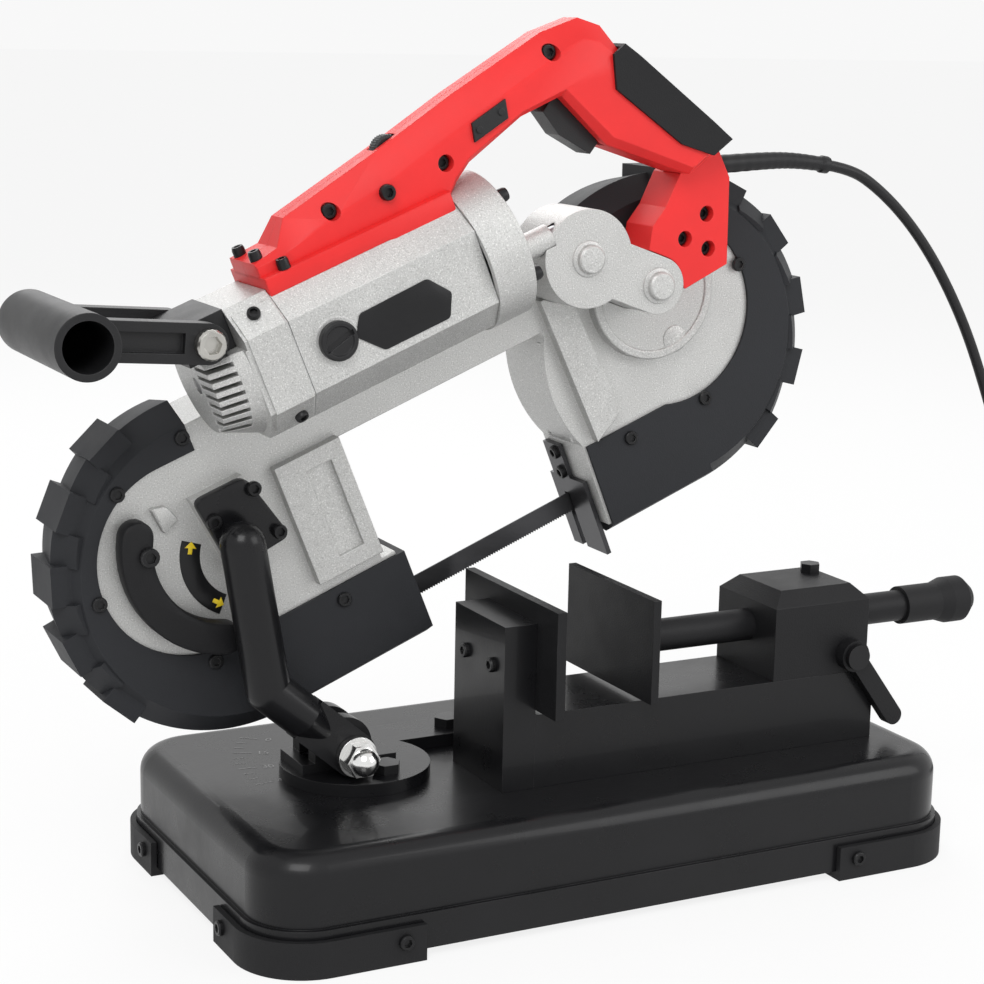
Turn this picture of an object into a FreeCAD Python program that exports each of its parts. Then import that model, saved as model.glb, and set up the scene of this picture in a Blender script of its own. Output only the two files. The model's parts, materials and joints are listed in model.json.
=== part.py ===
import FreeCAD, Part
import math
import os
import re

import Sketcher
from FreeCAD import Placement, Rotation, Vector

# Portable band saw hung on a cutting stand with a vise.
# Stand frame: +X along the base, +Y away from the front, +Z up, origin on the floor under the base centre.
# Saw frame: x runs along the saw from idler to drive wheel, y away from the front, z towards the motor.

STAND_SIZES = [
    # where the saw hangs
    ("rest_tilt", 22.34, "tilt of the saw at rest, degrees"),
    ("pivot_x", -140.5, "hinge bolt in the stand frame"),
    ("pivot_z", 89, "hinge bolt above the floor"),
    ("saw_y", 4, "front face of the saw frame in the stand frame"),
    ("pivot_u", 34, "hinge bolt along the saw"),
    ("pivot_w", -142, "hinge bolt below the saw"),
    # clearances
    ("run_fit", 0.05, "radial clearance of a running fit"),
    ("part_gap", 0.3, "gap between neighbours"),
    ("thread_gap", 0.15, "gap round a screw shank"),
    # screws
    ("screw_head", 4.4, "head radius"),
    ("screw_rise", 3, "head height"),
    ("screw_shank", 2.4, "shank radius"),
    ("screw_length", 9, "shank length"),
    # base
    ("base_length", 460, "pressed base along X"),
    ("base_width", 240, "pressed base along Y"),
    ("base_top", 67, "top of the base above the floor"),
    ("base_lift", 5, "bottom edge of the pan above the floor"),
    ("base_wall", 2, "sheet thickness"),
    ("base_corner", 35, "corner radius"),
    ("base_edge", 14, "rounding of the top edge"),
    ("step_out", 2.5, "outward step of the skirt"),
    ("step_height", 26, "top of the stepped skirt above the floor"),
    ("foot_long", 91, "reach of a rubber foot along X"),
    ("foot_short", 67, "reach of a rubber foot along Y"),
    ("foot_height", 21, "height of a rubber foot"),
    ("foot_wall", 4, "rubber thickness outside the skirt"),
    ("foot_lip", 14, "rubber lip under the skirt"),
    ("foot_screw_inset", 13, "screw from the end of a foot"),
    ("foot_screw_z", 13, "screw above the floor"),
    # vise
    ("vise_y", -37, "middle of the vise"),
    ("bed_left", -43, "left end of the bed"),
    ("bed_right", 200, "right end of the bed"),
    ("bed_width", 64, "bed across"),
    ("bed_top", 112, "top of the bed above the floor"),
    ("bed_wall", 7, "casting thickness of the bed"),
    ("post_thick", 21, "fixed jaw post along X"),
    ("post_top", 167, "top of the post above the floor"),
    ("jaw_plate", 6, "fixed jaw plate thickness"),
    ("jaw_length", 117, "fixed jaw plate along Y"),
    ("jaw_reach", 61, "far end of the fixed jaw plate from the vise middle"),
    ("jaw_low", 115, "lower edge of the jaw plates"),
    ("jaw_high", 179, "upper edge of the jaw plates"),
    ("jaw_screw_step", 34, "between the two jaw screws"),
    ("jaw_gap", 61, "opening between the jaws at rest"),
    ("slide_plate", 5, "moving jaw plate thickness"),
    ("slide_length", 102, "moving jaw plate along Y"),
    ("slide_reach", 51, "far end of the moving jaw plate from the vise middle"),
    ("rod_radius", 10, "sliding rod"),
    ("rod_z", 141, "sliding rod above the floor"),
    ("rod_length", 227, "sliding rod"),
    ("grip_length", 55, "rubber grip on the rod"),
    ("grip_neck", 12.3, "grip neck radius"),
    ("grip_bulb", 15, "grip bulb radius"),
    ("grip_seat", 14, "length of rod inside the grip"),
    ("block_left", 124, "clamp block left face"),
    ("block_length", 70, "clamp block along X"),
    ("block_top", 167, "clamp block above the floor"),
    ("block_chamfer", 9, "facets round the top of the block"),
    ("block_bolt_x", 178, "bolt on the block"),
    ("lever_x", 180, "quick release lever pin"),
    ("lever_z", 124, "quick release lever pin above the floor"),
    ("lever_reach", 53, "quick release lever length"),
    ("lever_angle", 53, "lever below the horizontal at rest, degrees"),
    ("lever_eye", 10, "lever eye radius"),
    ("lever_thick", 8, "lever thickness"),
    ("lever_pin_radius", 4.5, "lever pin"),
    # swivel plate and hinge
    ("swivel_x", -127, "middle of the round end of the swivel plate"),
    ("swivel_radius", 45, "round end of the swivel plate"),
    ("swivel_thick", 8, "swivel plate"),
    ("swivel_bolt_x", -47, "far swivel bolt"),
    ("swivel_bolt_y", 38, "far swivel bolt"),
    ("swivel_arm", 16, "half width of the plate at the far bolt"),
    ("ear_thick", 10, "hinge ears"),
    ("ear_near", -8, "inner face of the near ear in the saw frame"),
    ("ear_far", 6, "inner face of the far ear in the saw frame"),
    ("ear_radius", 18, "hinge ears"),
    ("ear_foot", 6, "foot plate of the hinge bracket"),
    ("hinge_radius", 6, "hinge bolt"),
    ("eye_near", -34, "near face of the arm eye in the saw frame"),
    ("eye_thick", 13, "arm eye"),
    ("eye_radius", 13.4, "arm eye"),
    ("washer_radius", 12, "hinge washer"),
    ("washer_thick", 2.5, "hinge washer"),
    ("nut_radius", 10.5, "acorn nut across corners, half"),
    ("nut_height", 9, "hexagon of the acorn nut"),
    # arm
    ("tube_radius", 13, "bent arm tube"),
    ("tube_y", -27.5, "tube middle in the saw frame"),
    ("arm_top_u", 22, "upper end of the tube"),
    ("arm_top_w", 3.5, "upper end of the tube"),
    ("arm_bend_u", 3.4, "bend of the tube"),
    ("arm_bend_w", -82, "bend of the tube"),
    ("arm_flat", 38, "flattened length above the hinge"),
    ("pad_rise", 8, "cast pad under the arm plate"),
    ("arm_plate", 6, "arm plate thickness"),
]

SAW_SIZES = [
    # wheels and blade
    ("idler_u", 18, "idler wheel along the saw"),
    ("wheel_w", -15, "wheel axles across the saw"),
    ("wheel_spacing", 311, "between the wheel axles"),
    ("tyre_radius", 82.5, "outside of the rubber tyres"),
    ("tyre_thick", 4, "rubber tyre"),
    ("tyre_width", 15, "rubber tyre"),
    ("wheel_mid", 38, "middle plane of wheels and blade"),
    ("rim_thick", 6, "wheel rim"),
    ("web_thick", 5, "wheel web"),
    ("hub_radius", 17, "wheel hub"),
    ("axle_radius", 8, "wheel axles"),
    ("blade_width", 13, "blade"),
    ("blade_thick", 0.65, "blade"),
    ("blade_gap", 0.3, "blade off the tyres"),
    ("tooth_pitch", 1.8, "blade teeth"),
    ("tooth_depth", 1.0, "blade teeth"),
    ("twist_start", 22, "flat blade past the wheel before it twists"),
    # main frame
    ("frame_radius", 87.5, "outside of the wheel housings"),
    ("frame_depth", 50, "depth of the wheel housings"),
    ("frame_wall", 2.5, "casting wall"),
    ("face_thick", 6, "front face of the casting"),
    ("throat_left", 104, "left edge of the throat"),
    ("throat_right", 250, "right edge of the throat"),
    ("spine_low", 25, "lower edge of the spine"),
    ("nose_drop", 5.2, "guide noses below the housings"),
    ("nose_reach", 9, "left guide nose into the throat"),
    ("nose_start", 25, "guide noses from the wheel axles"),
    ("nose_top", -55, "upper edge of the guide noses"),
    ("disc_u", 325, "raised disc on the drive side"),
    ("disc_w", 19, "raised disc on the drive side"),
    ("disc_radius", 42, "raised disc on the drive side"),
    ("disc_rise", 8, "raised disc on the drive side"),
    ("bar_rise", 7, "raised bars beside the throat"),
    ("bar_width", 17, "raised bars beside the throat"),
    # bumpers
    ("bumper_front", 88.5, "bumper radius at the front lip"),
    ("bumper_mid", 101, "largest bumper radius"),
    ("bumper_back", 95, "bumper radius at the back"),
    ("bumper_lip", 2, "front lip of the bumpers"),
    ("bumper_mid_y", 12, "largest radius behind the front face"),
    ("left_window", 57, "round window of the left bumper"),
    ("left_window_u", 0, "window middle"),
    ("right_window", 58, "round window of the right bumper"),
    ("right_window_u", 334, "window middle"),
    ("window_w", 0, "window middles"),
    ("left_nose", 118, "end of the left bumper nose"),
    ("right_nose", 252, "end of the right bumper nose"),
    ("left_bumper_top", 24, "upper end of the left bumper"),
    ("right_bumper_top", 272, "upper end of the right bumper"),
    ("nub_size", 9, "ribs standing on the bumpers"),
    # motor
    ("motor_y", -33, "motor axis"),
    ("motor_w", 99, "motor axis"),
    ("motor_radius", 38, "half size of the square motor barrel"),
    ("barrel_chamfer", 16.5, "flat corners of the barrel"),
    ("motor_wall", 4, "motor barrel wall"),
    ("motor_left", 80, "left end of the barrel"),
    ("motor_right", 199, "right end of the barrel"),
    ("end_wall", 5, "bearing walls"),
    ("cap_left", 31, "left end of the vent cap"),
    ("cap_nose", 28, "vent cap radius at its left end"),
    ("slot_height", 2.4, "vent slots"),
    ("slot_step", 5.4, "between vent slots"),
    ("slot_length", 15, "vent slots along the cap"),
    ("head_radius", 44, "gear head flange"),
    ("head_right", 224, "right end of the gear head"),
    ("stator_inner", 24, "stator bore"),
    ("core_length", 70, "stator and armature core"),
    ("core_left", 112, "left end of the core"),
    ("shaft_radius", 5, "armature shaft"),
    ("brush_radius", 11, "brush cap"),
    ("brush_u", 102, "brush caps along the motor"),
    # gears
    ("head_module", 0.8, "spur pair in the gear head"),
    ("armature_teeth", 10, "teeth on the armature"),
    ("worm_teeth", 20, "teeth of the gear on the worm shaft"),
    ("worm_u", 275, "middle of the worm"),
    ("worm_radius", 4, "worm"),
    ("worm_length", 16, "worm"),
    ("worm_wheel", 6, "worm wheel thickness"),
    ("fine_module", 1.25, "first spur pair"),
    ("first_pinion", 24, "teeth on the first shaft"),
    ("second_gear", 58, "teeth of the large gear on the second shaft"),
    ("first_angle", 138, "first shaft seen from the second, degrees"),
    ("coarse_module", 1.5, "second spur pair"),
    ("second_pinion", 14, "teeth of the small gear on the second shaft"),
    ("drive_teeth", 52, "teeth of the drive gear"),
    ("second_angle", 108.8, "second shaft seen from the drive axle, degrees"),
    ("backlash", 0.25, "flank gap of the gears"),
    ("gear_width", 8, "gear faces"),
    ("cross_radius", 6, "gear shafts"),
    ("lobe_large", 29, "large lobe of the gear cover"),
    ("lobe_small", 17, "small lobe of the gear cover"),
    ("cover_rise", 40, "gear cover in front of the frame"),
    ("cover_wall", 2.5, "gear cover wall"),
    ("boss_radius", 7.5, "round bosses on the gear cover"),
    ("boss_rise", 4, "round bosses on the gear cover"),
]

HANDLE_SIZES = [
    # rear handle
    ("handle_half", 20, "half thickness of the handle shells"),
    ("handle_wall", 3, "shell wall"),
    ("foot_half", 26, "half width of the handle foot on the motor"),
    ("foot_low", 132, "underside of the handle foot"),
    ("foot_high", 151, "top of the handle foot at its left end"),
    ("rubber_thick", 2, "soft grip over the shells"),
    ("trigger_half", 8, "half width of the trigger"),
    ("trigger_u", 288, "trigger pivot"),
    ("trigger_w", 168, "trigger pivot"),
    ("trigger_pin", 2.5, "trigger pivot pin"),
    ("dial_u", 181, "speed dial"),
    ("dial_w", 173, "speed dial"),
    ("dial_radius", 9, "speed dial"),
    ("dial_half", 4, "half thickness of the speed dial"),
    ("bore_radius", 4.8, "sunk bores for the handle screws"),
    ("bore_depth", 8, "sunk bores for the handle screws"),
    ("bracket_back", -8.3, "far face of the rear bracket"),
    ("bracket_thick", 30, "rear bracket"),
    # front handle
    ("handle_bolt_u", 36, "front handle bolt"),
    ("handle_bolt_w", 127, "front handle bolt"),
    ("handle_bolt_radius", 5, "front handle bolt"),
    ("grip_tube_u", -30, "front handle grip"),
    ("grip_tube_w", 160, "front handle grip"),
    ("grip_tube_radius", 17.5, "front handle grip"),
    ("grip_tube_wall", 4, "front handle grip"),
    ("grip_tube_near", -95, "near end of the front handle grip"),
    ("grip_tube_far", 10, "far end of the front handle grip"),
    ("arm_thick", 12, "front handle arms"),
    ("arm_near", -68, "near face of the near handle arm"),
    ("arm_far", -10, "near face of the far handle arm"),
    ("arm_height", 22, "front handle arms"),
    # tension
    ("slider_half", 17, "half size of the tension block"),
    ("slider_thick", 9, "tension block"),
    ("lever_pivot_u", -27, "tension lever bolt"),
    ("lever_pivot_w", 18, "tension lever bolt"),
    ("lever_bend_u", 20, "middle of the lever's curve"),
    ("lever_bend_w", 2, "middle of the lever's curve"),
    ("lever_inner", 47, "inner edge of the lever's curve"),
    ("lever_outer", 63, "outer edge of the lever's curve"),
    ("lever_near", -16, "near face of the tension lever"),
    ("lever_rise", 10.5, "tension lever thickness"),
    # cord
    ("sleeve_radius", 5.8, "strain relief at the saw"),
    ("cord_radius", 3.4, "mains cord"),
    ("coil_radius", 38, "middle of the put-away turns"),
    ("coil_step", 7.6, "between neighbouring turns"),
    ("coil_x", 436, "middle of the put-away coil"),
    ("coil_y", -14, "middle of the put-away coil"),
    ("coil_lift", 1.3, "coil above the floor, on its tie"),
    ("coil_tail", 42, "straight end of the coil before the plug"),
    ("tie_thick", 0.9, "tie round the coil"),
    ("tie_width", 9, "tie round the coil"),
    ("plug_radius", 12, "plug body"),
]

doc = FreeCAD.newDocument("portable_band_saw")
sheet = doc.addObject("Spreadsheet::Sheet", "dims")
SIZES = STAND_SIZES + SAW_SIZES + HANDLE_SIZES
for row, (alias, value, note) in enumerate(SIZES, start=1):
    sheet.set(f"A{row}", note)
    sheet.set(f"B{row}", str(value))
    sheet.setAlias(f"B{row}", alias)
doc.recompute()
ALIASES = {alias for alias, value, note in SIZES}


class Dims:
    """Reads a driving dimension from the sheet: d.base_length."""

    def __getattr__(self, alias):
        return float(sheet.get(alias))


d = Dims()

DIRECTIONS = {
    "x": Rotation(Vector(0, 1, 0), 90),
    "-x": Rotation(Vector(0, 1, 0), -90),
    "y": Rotation(Vector(1, 0, 0), -90),
    "-y": Rotation(Vector(1, 0, 0), 90),
    "z": Rotation(),
    "-z": Rotation(Vector(1, 0, 0), 180),
}
OPPOSITE = {"x": "-x", "-x": "x", "y": "-y", "-y": "y", "z": "-z", "-z": "z"}


def bound(text):
    """Expression text in which every sheet alias is read from the sheet."""
    return re.sub(r"[a-z_]\w*", lambda word: f"dims.{word[0]}" if word[0] in ALIASES else word[0], str(text))


def bind(obj, at, turn, **sizes):
    """Tie an object's place and sizes to the sheet."""
    obj.Placement = Placement(Vector(), turn)
    for letter, text in zip("xyz", at):
        obj.setExpression(f"Placement.Base.{letter}", bound(text))
    for name, text in sizes.items():
        obj.setExpression(name, bound(text))
    return obj


def box(name, at, extent, turn=Rotation()):
    obj = doc.addObject("Part::Box", name)
    return bind(obj, at, turn, Length=extent[0], Width=extent[1], Height=extent[2])


def cylinder(name, at, radius, height, along="z"):
    obj = doc.addObject("Part::Cylinder", name)
    return bind(obj, at, DIRECTIONS[along], Radius=radius, Height=height)


def cone(name, at, radius, end_radius, height, along="z"):
    obj = doc.addObject("Part::Cone", name)
    return bind(obj, at, DIRECTIONS[along], Radius1=radius, Radius2=end_radius, Height=height)


def prism(name, at, sides, radius, height, along="z"):
    obj = doc.addObject("Part::Prism", name)
    obj.Polygon = sides
    return bind(obj, at, DIRECTIONS[along], Circumradius=radius, Height=height)


def ball(name, at, radius):
    obj = doc.addObject("Part::Sphere", name)
    return bind(obj, at, Rotation(), Radius=radius)


def fuse(name, *solids):
    obj = doc.addObject("Part::MultiFuse", name)
    obj.Shapes = list(solids)
    obj.Refine = True
    return obj


def cut(name, base, *tools):
    obj = doc.addObject("Part::Cut", name)
    obj.Base = base
    obj.Tool = tools[0] if len(tools) == 1 else fuse(f"{name}_tools", *tools)
    return obj


def common(name, base, tool):
    obj = doc.addObject("Part::Common", name)
    obj.Base = base
    obj.Tool = tool
    return obj


def shaped(name, shape):
    """A solid made by hand from sheet sizes."""
    obj = doc.addObject("Part::Feature", name)
    obj.Shape = shape
    return obj


def edges_in_plane(shape, height):
    """Numbers of the edges that lie in one level plane of a shape."""
    return [number for number, edge in enumerate(shape.Edges, start=1)
            if all(abs(corner.Z - height) < 1e-6 for corner in edge.Vertexes)]


def dress_top(kind, name, solid, amount):
    """Round (Part::Fillet) or bevel (Part::Chamfer) every edge of a solid's top face."""
    doc.recompute()
    obj = doc.addObject(kind, name)
    obj.Base = solid
    obj.Edges = [(number, amount, amount)
                 for number in edges_in_plane(solid.Shape, solid.Shape.BoundBox.ZMax)]
    return obj


def plate(name, corners, back, thick):
    """Flat plate facing the front: a padded outline whose corners are tied to the sheet."""
    body = doc.addObject("PartDesign::Body", name)
    plane = next(item for item in body.Origin.OriginFeatures if item.Role == "XZ_Plane")
    outline = body.newObject("Sketcher::SketchObject", f"{name}_outline")
    outline.AttachmentSupport = [(plane, "")]
    outline.MapMode = "FlatFace"
    rough = [Vector(10 * math.cos(turn), 10 * math.sin(turn), 0)
             for turn in (2 * math.pi * i / len(corners) for i in range(len(corners)))]
    for start, end in zip(rough, rough[1:] + rough[:1]):
        outline.addGeometry(Part.LineSegment(start, end))
    for i in range(len(corners)):
        outline.addConstraint(Sketcher.Constraint("Coincident", i, 2, (i + 1) % len(corners), 1))
    for i, corner in enumerate(corners):
        for kind, text in zip(("DistanceX", "DistanceY"), corner):
            number = outline.addConstraint(Sketcher.Constraint(kind, -1, 1, i, 1, 1.0))
            outline.setExpression(f"Constraints[{number}]", bound(text))
    pad = body.newObject("PartDesign::Pad", f"{name}_pad")
    pad.Profile = outline
    pad.setExpression("Length", bound(thick))
    body.setExpression("Placement.Base.y", bound(back))
    return body


def screw(name, at, out, head="screw_head", rise="screw_rise", shank="screw_shank", length="screw_length",
          sides=0):
    """Screw with its head standing out of a face; sides gives a hexagon or other prism head."""
    if sides:
        cap = prism(f"{name}_head", at, sides, head, rise, out)
    else:
        cap = cylinder(f"{name}_head", at, head, rise, out)
    return fuse(name, cap, cylinder(f"{name}_shank", at, shank, length, OPPOSITE[out]))


def screw_hole(name, at, out, shank="screw_shank", length="screw_length"):
    """Hole for a screw of the same place and direction, as a tool to cut with."""
    return cylinder(name, at, f"{shank} + thread_gap", f"{length} + thread_gap", OPPOSITE[out])


nodes = []


def on_saw(place=Placement()):
    """A place in the saw frame moved to where the saw hangs on the stand."""
    tilt = Rotation(Vector(0, -1, 0), d.rest_tilt)
    hinge = Vector(d.pivot_x, d.saw_y, d.pivot_z)
    reach = tilt.multVec(Vector(d.pivot_u, 0, d.pivot_w))
    return Placement(hinge - reach, tilt).multiply(place)


def node(label, *solids, hung=True):
    """One named sub-part, hung with the saw or standing on the stand."""
    obj = doc.addObject("Part::Compound", f"node_{label}")
    obj.Links = list(solids)
    obj.Label = label
    obj.Placement = on_saw() if hung else Placement()
    nodes.append(obj)
    return obj


# Base: a pressed steel pan on four rubber corner feet

def rounded_block(name, length, width, low, height, corner):
    """Upright block centred on the origin with round corners."""
    side_x = f"(({length}) / 2 - ({corner}))"
    side_y = f"(({width}) / 2 - ({corner}))"
    along = box(f"{name}_along", (f"-({length}) / 2", f"-{side_y}", low), (length, f"2 * {side_y}", height))
    across = box(f"{name}_across", (f"-{side_x}", f"-({width}) / 2", low), (f"2 * {side_x}", width, height))
    posts = [cylinder(f"{name}_post_{sx}_{sy}".replace("-", "m"),
                      (f"{sx} * {side_x}", f"{sy} * {side_y}", low),
                      corner, height)
             for sx in (-1, 1) for sy in (-1, 1)]
    return fuse(name, along, across, *posts)


CORNERS = [(sx, sy) for sx in (-1, 1) for sy in (-1, 1)]


def foot_screw_places():
    """Two screws in each rubber foot: (place, outward direction)."""
    places = []
    for sx, sy in CORNERS:
        along_x = f"{sx} * (base_length / 2 - foot_long + foot_screw_inset)"
        face_y = f"{sy} * (base_width / 2 + step_out + foot_wall)"
        along_y = f"{sy} * (base_width / 2 - foot_short + foot_screw_inset)"
        face_x = f"{sx} * (base_length / 2 + step_out + foot_wall)"
        places.append(((along_x, face_y, "foot_screw_z"), "y" if sy > 0 else "-y"))
        places.append(((face_x, along_y, "foot_screw_z"), "x" if sx > 0 else "-x"))
    return places


foot_holes = [screw_hole(f"foot_hole_{i}", at, out) for i, (at, out) in enumerate(foot_screw_places())]
SWIVEL_BOLTS = [("swivel_bolt_x", "swivel_bolt_y"), ("swivel_x + 8", "-swivel_radius + 18")]
BOLT = dict(head="screw_head * 2", rise="screw_rise * 2", shank="screw_shank * 1.6",
            length="screw_length + 4", sides=6)
swivel_holes = [screw_hole(f"swivel_hole_{i}", (x, y, "base_top + swivel_thick"), "z", BOLT["shank"],
                           BOLT["length"])
                for i, (x, y) in enumerate(SWIVEL_BOLTS)]

pan_block = rounded_block("pan_block", "base_length", "base_width", "base_lift", "base_top - base_lift",
                          "base_corner")
pan_top = dress_top("Part::Fillet", "pan_top", pan_block, d.base_edge)
skirt = rounded_block("skirt", "base_length + 2 * step_out", "base_width + 2 * step_out", "base_lift",
                      "step_height - base_lift", "base_corner + step_out")
pan_hollow = rounded_block("pan_hollow", "base_length - 2 * base_wall", "base_width - 2 * base_wall",
                           "base_lift - base_wall", "base_top - base_lift", "base_corner - base_wall")
pan_inside = dress_top("Part::Fillet", "pan_inside", pan_hollow, d.base_edge - d.base_wall)
node("base_pan", cut("pan", fuse("pan_outside", pan_top, skirt), pan_inside, *foot_holes, *swivel_holes),
     hung=False)

foot_outside = rounded_block("foot_outside", "base_length + 2 * (step_out + foot_wall)",
                             "base_width + 2 * (step_out + foot_wall)", "0", "foot_height",
                             "base_corner + step_out + foot_wall")
foot_seat = rounded_block("foot_seat", "base_length + 2 * (step_out + part_gap)",
                          "base_width + 2 * (step_out + part_gap)",
                          "base_lift", "foot_height", "base_corner + step_out + part_gap")
foot_middle = rounded_block("foot_middle", "base_length - 2 * foot_lip", "base_width - 2 * foot_lip",
                            "-base_lift", "foot_height", "base_corner - foot_lip")
foot_ring = cut("foot_ring", foot_outside, foot_seat, foot_middle, *foot_holes)


def foot(sx, sy):
    """One corner of the rubber ring."""
    name = f"foot_{'right' if sx > 0 else 'left'}_{'back' if sy > 0 else 'front'}"
    reach_x = "(foot_long + step_out + foot_wall)"
    reach_y = "(foot_short + step_out + foot_wall)"
    low_x = "base_length / 2 - foot_long" if sx > 0 else "-base_length / 2 - step_out - foot_wall"
    low_y = "base_width / 2 - foot_short" if sy > 0 else "-base_width / 2 - step_out - foot_wall"
    corner = box(f"{name}_corner", (low_x, low_y, "-base_lift"), (reach_x, reach_y, "2 * foot_height"))
    return common(name, foot_ring, corner)


node("corner_feet", *[foot(sx, sy) for sx, sy in CORNERS], hung=False)
foot_screws = [screw(f"foot_screw_{i}", at, out) for i, (at, out) in enumerate(foot_screw_places())]

# Vise: cast bed, fixed jaw on a post, moving jaw on a sliding rod with a clamp block

BED_Y = "vise_y - bed_width / 2"
JAW_SCREWS = [("bed_left - post_thick", f"vise_y + {side} * jaw_screw_step / 2", "(jaw_low + post_top) / 2")
              for side in (-1, 1)]
JAW_SHANK = "post_thick + jaw_plate / 2"
jaw_holes = [screw_hole(f"jaw_hole_{i}", at, "-x", length=JAW_SHANK) for i, at in enumerate(JAW_SCREWS)]

bed_block = box("bed_block", ("bed_left", BED_Y, "base_top"),
                ("bed_right - bed_left", "bed_width", "bed_top - base_top"))
bed_hollow = box("bed_hollow", ("bed_left + bed_wall", f"{BED_Y} + bed_wall", "base_top - bed_wall"),
                 ("bed_right - bed_left - 2 * bed_wall", "bed_width - 2 * bed_wall", "bed_top - base_top"))
block_hole = screw_hole("block_hole", ("block_bolt_x", "vise_y + bed_width / 6", "block_top"), "z")
node("vise_bed", cut("bed", bed_block, bed_hollow), hung=False)

post = box("post", ("bed_left - post_thick", BED_Y, "base_top"),
           ("post_thick", "bed_width", "post_top - base_top"))
node("jaw_post", cut("post_drilled", post, *jaw_holes), hung=False)
jaw = box("jaw", ("bed_left", "vise_y + jaw_reach - jaw_length", "jaw_low"),
          ("jaw_plate", "jaw_length", "jaw_high - jaw_low"))
node("fixed_jaw_plate", cut("jaw_drilled", jaw, *jaw_holes), hung=False)
jaw_screws = [screw(f"jaw_screw_{i}", at, "-x", length=JAW_SHANK) for i, at in enumerate(JAW_SCREWS)]
node("stand_screws", *foot_screws, *jaw_screws, hung=False)

block = box("block", ("block_left", BED_Y, "bed_top"), ("block_length", "bed_width", "block_top - bed_top"))
block_faceted = dress_top("Part::Chamfer", "block_faceted", block, d.block_chamfer)
rod_bore = cylinder("rod_bore", ("block_left - 1", "vise_y", "rod_z"), "rod_radius + run_fit",
                    "block_length + 2", "x")
pin_hole = cylinder("pin_hole", ("lever_x", BED_Y, "lever_z"), "lever_pin_radius + run_fit", "lever_thick",
                    "y")
node("vise_block", cut("block_bored", block_faceted, rod_bore, block_hole, pin_hole), hung=False)
block_bolt = screw("block_bolt", ("block_bolt_x", "vise_y + bed_width / 6", "block_top"), "z",
                   head="screw_head * 1.5", rise="screw_rise * 2", sides=6)

JAW_FACE = "(bed_left + jaw_plate + jaw_gap)"
ROD_START = f"({JAW_FACE} + slide_plate)"
node("moving_jaw", box("slide_jaw", (JAW_FACE, "vise_y + slide_reach - slide_length", "jaw_low"),
                       ("slide_plate", "slide_length", "jaw_high - jaw_low - 1")), hung=False)
node("vise_rod", cylinder("rod", (ROD_START, "vise_y", "rod_z"), "rod_radius", "rod_length", "x"), hung=False)

GRIP_START = f"({ROD_START} + rod_length - grip_seat)"
grip_neck = cylinder("grip_neck_part", (GRIP_START, "vise_y", "rod_z"), "grip_neck", "grip_length * 0.5", "x")
grip_swell = cone("grip_swell", (f"{GRIP_START} + grip_length * 0.5", "vise_y", "rod_z"), "grip_neck",
                  "grip_bulb",
                  "grip_length * 0.15", "x")
grip_bulb = cylinder("grip_bulb_part", (f"{GRIP_START} + grip_length * 0.65", "vise_y", "rod_z"), "grip_bulb",
                     "grip_length * 0.22", "x")
grip_end = cone("grip_end", (f"{GRIP_START} + grip_length * 0.87", "vise_y", "rod_z"), "grip_bulb",
                "grip_bulb * 0.6",
                "grip_length * 0.13", "x")
grip_bore = cylinder("grip_bore", (f"{GRIP_START} - 1", "vise_y", "rod_z"), "rod_radius + run_fit",
                     "grip_seat + 1", "x")
node("rod_grip", cut("grip", fuse("grip_solid", grip_neck, grip_swell, grip_bulb, grip_end), grip_bore),
     hung=False)

LEVER_Y = f"{BED_Y} - part_gap - lever_thick"
lever_turn = Rotation(Vector(0, 1, 0), d.lever_angle)
lever_eye = cylinder("lever_eye_part", ("lever_x", LEVER_Y, "lever_z"), "lever_eye", "lever_thick", "y")
lever_bar = box("lever_bar", ("lever_x - lever_eye * 0.6 * sin(lever_angle)", LEVER_Y,
                              "lever_z - lever_eye * 0.6 * cos(lever_angle)"),
                ("lever_reach", "lever_thick", "lever_eye * 1.2"), lever_turn)
lever_tip = cylinder("lever_tip", ("lever_x + lever_reach * cos(lever_angle)", LEVER_Y,
                                   "lever_z - lever_reach * sin(lever_angle)"), "lever_eye * 0.6",
                     "lever_thick", "y")
lever_bore = cylinder("lever_bore", ("lever_x", f"{LEVER_Y} - 1", "lever_z"), "lever_pin_radius + run_fit",
                      "lever_thick + 2", "y")
node("quick_lever", cut("lever_bored", fuse("lever_solid", lever_eye, lever_bar, lever_tip), lever_bore),
     hung=False)
node("lever_pin", screw("lever_pin_solid", ("lever_x", f"{LEVER_Y} - part_gap", "lever_z"), "-y",
                        head="lever_eye * 0.8",
                        shank="lever_pin_radius", length="2 * lever_thick + part_gap"), hung=False)

# Swivel plate with the hinge bracket of the saw

SWIVEL_LOW = "base_top"
swivel_round = cylinder("swivel_round", ("swivel_x", "0", SWIVEL_LOW), "swivel_radius", "swivel_thick")
swivel_end = cylinder("swivel_end", ("swivel_bolt_x", "swivel_bolt_y", SWIVEL_LOW), "swivel_arm",
                      "swivel_thick")
swivel_link = box("swivel_link", ("swivel_x", "swivel_bolt_y - swivel_arm", SWIVEL_LOW),
                  ("swivel_bolt_x - swivel_x", "2 * swivel_arm", "swivel_thick"))
node("swivel_plate", cut("swivel", fuse("swivel_solid", swivel_round, swivel_end, swivel_link),
                         *swivel_holes),
     hung=False)
swivel_bolts = [screw(f"swivel_bolt_{i}", (x, y, "base_top + swivel_thick"), "z", **BOLT)
                for i, (x, y) in enumerate(SWIVEL_BOLTS)]
node("hex_bolts", block_bolt, *swivel_bolts, hung=False)

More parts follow.
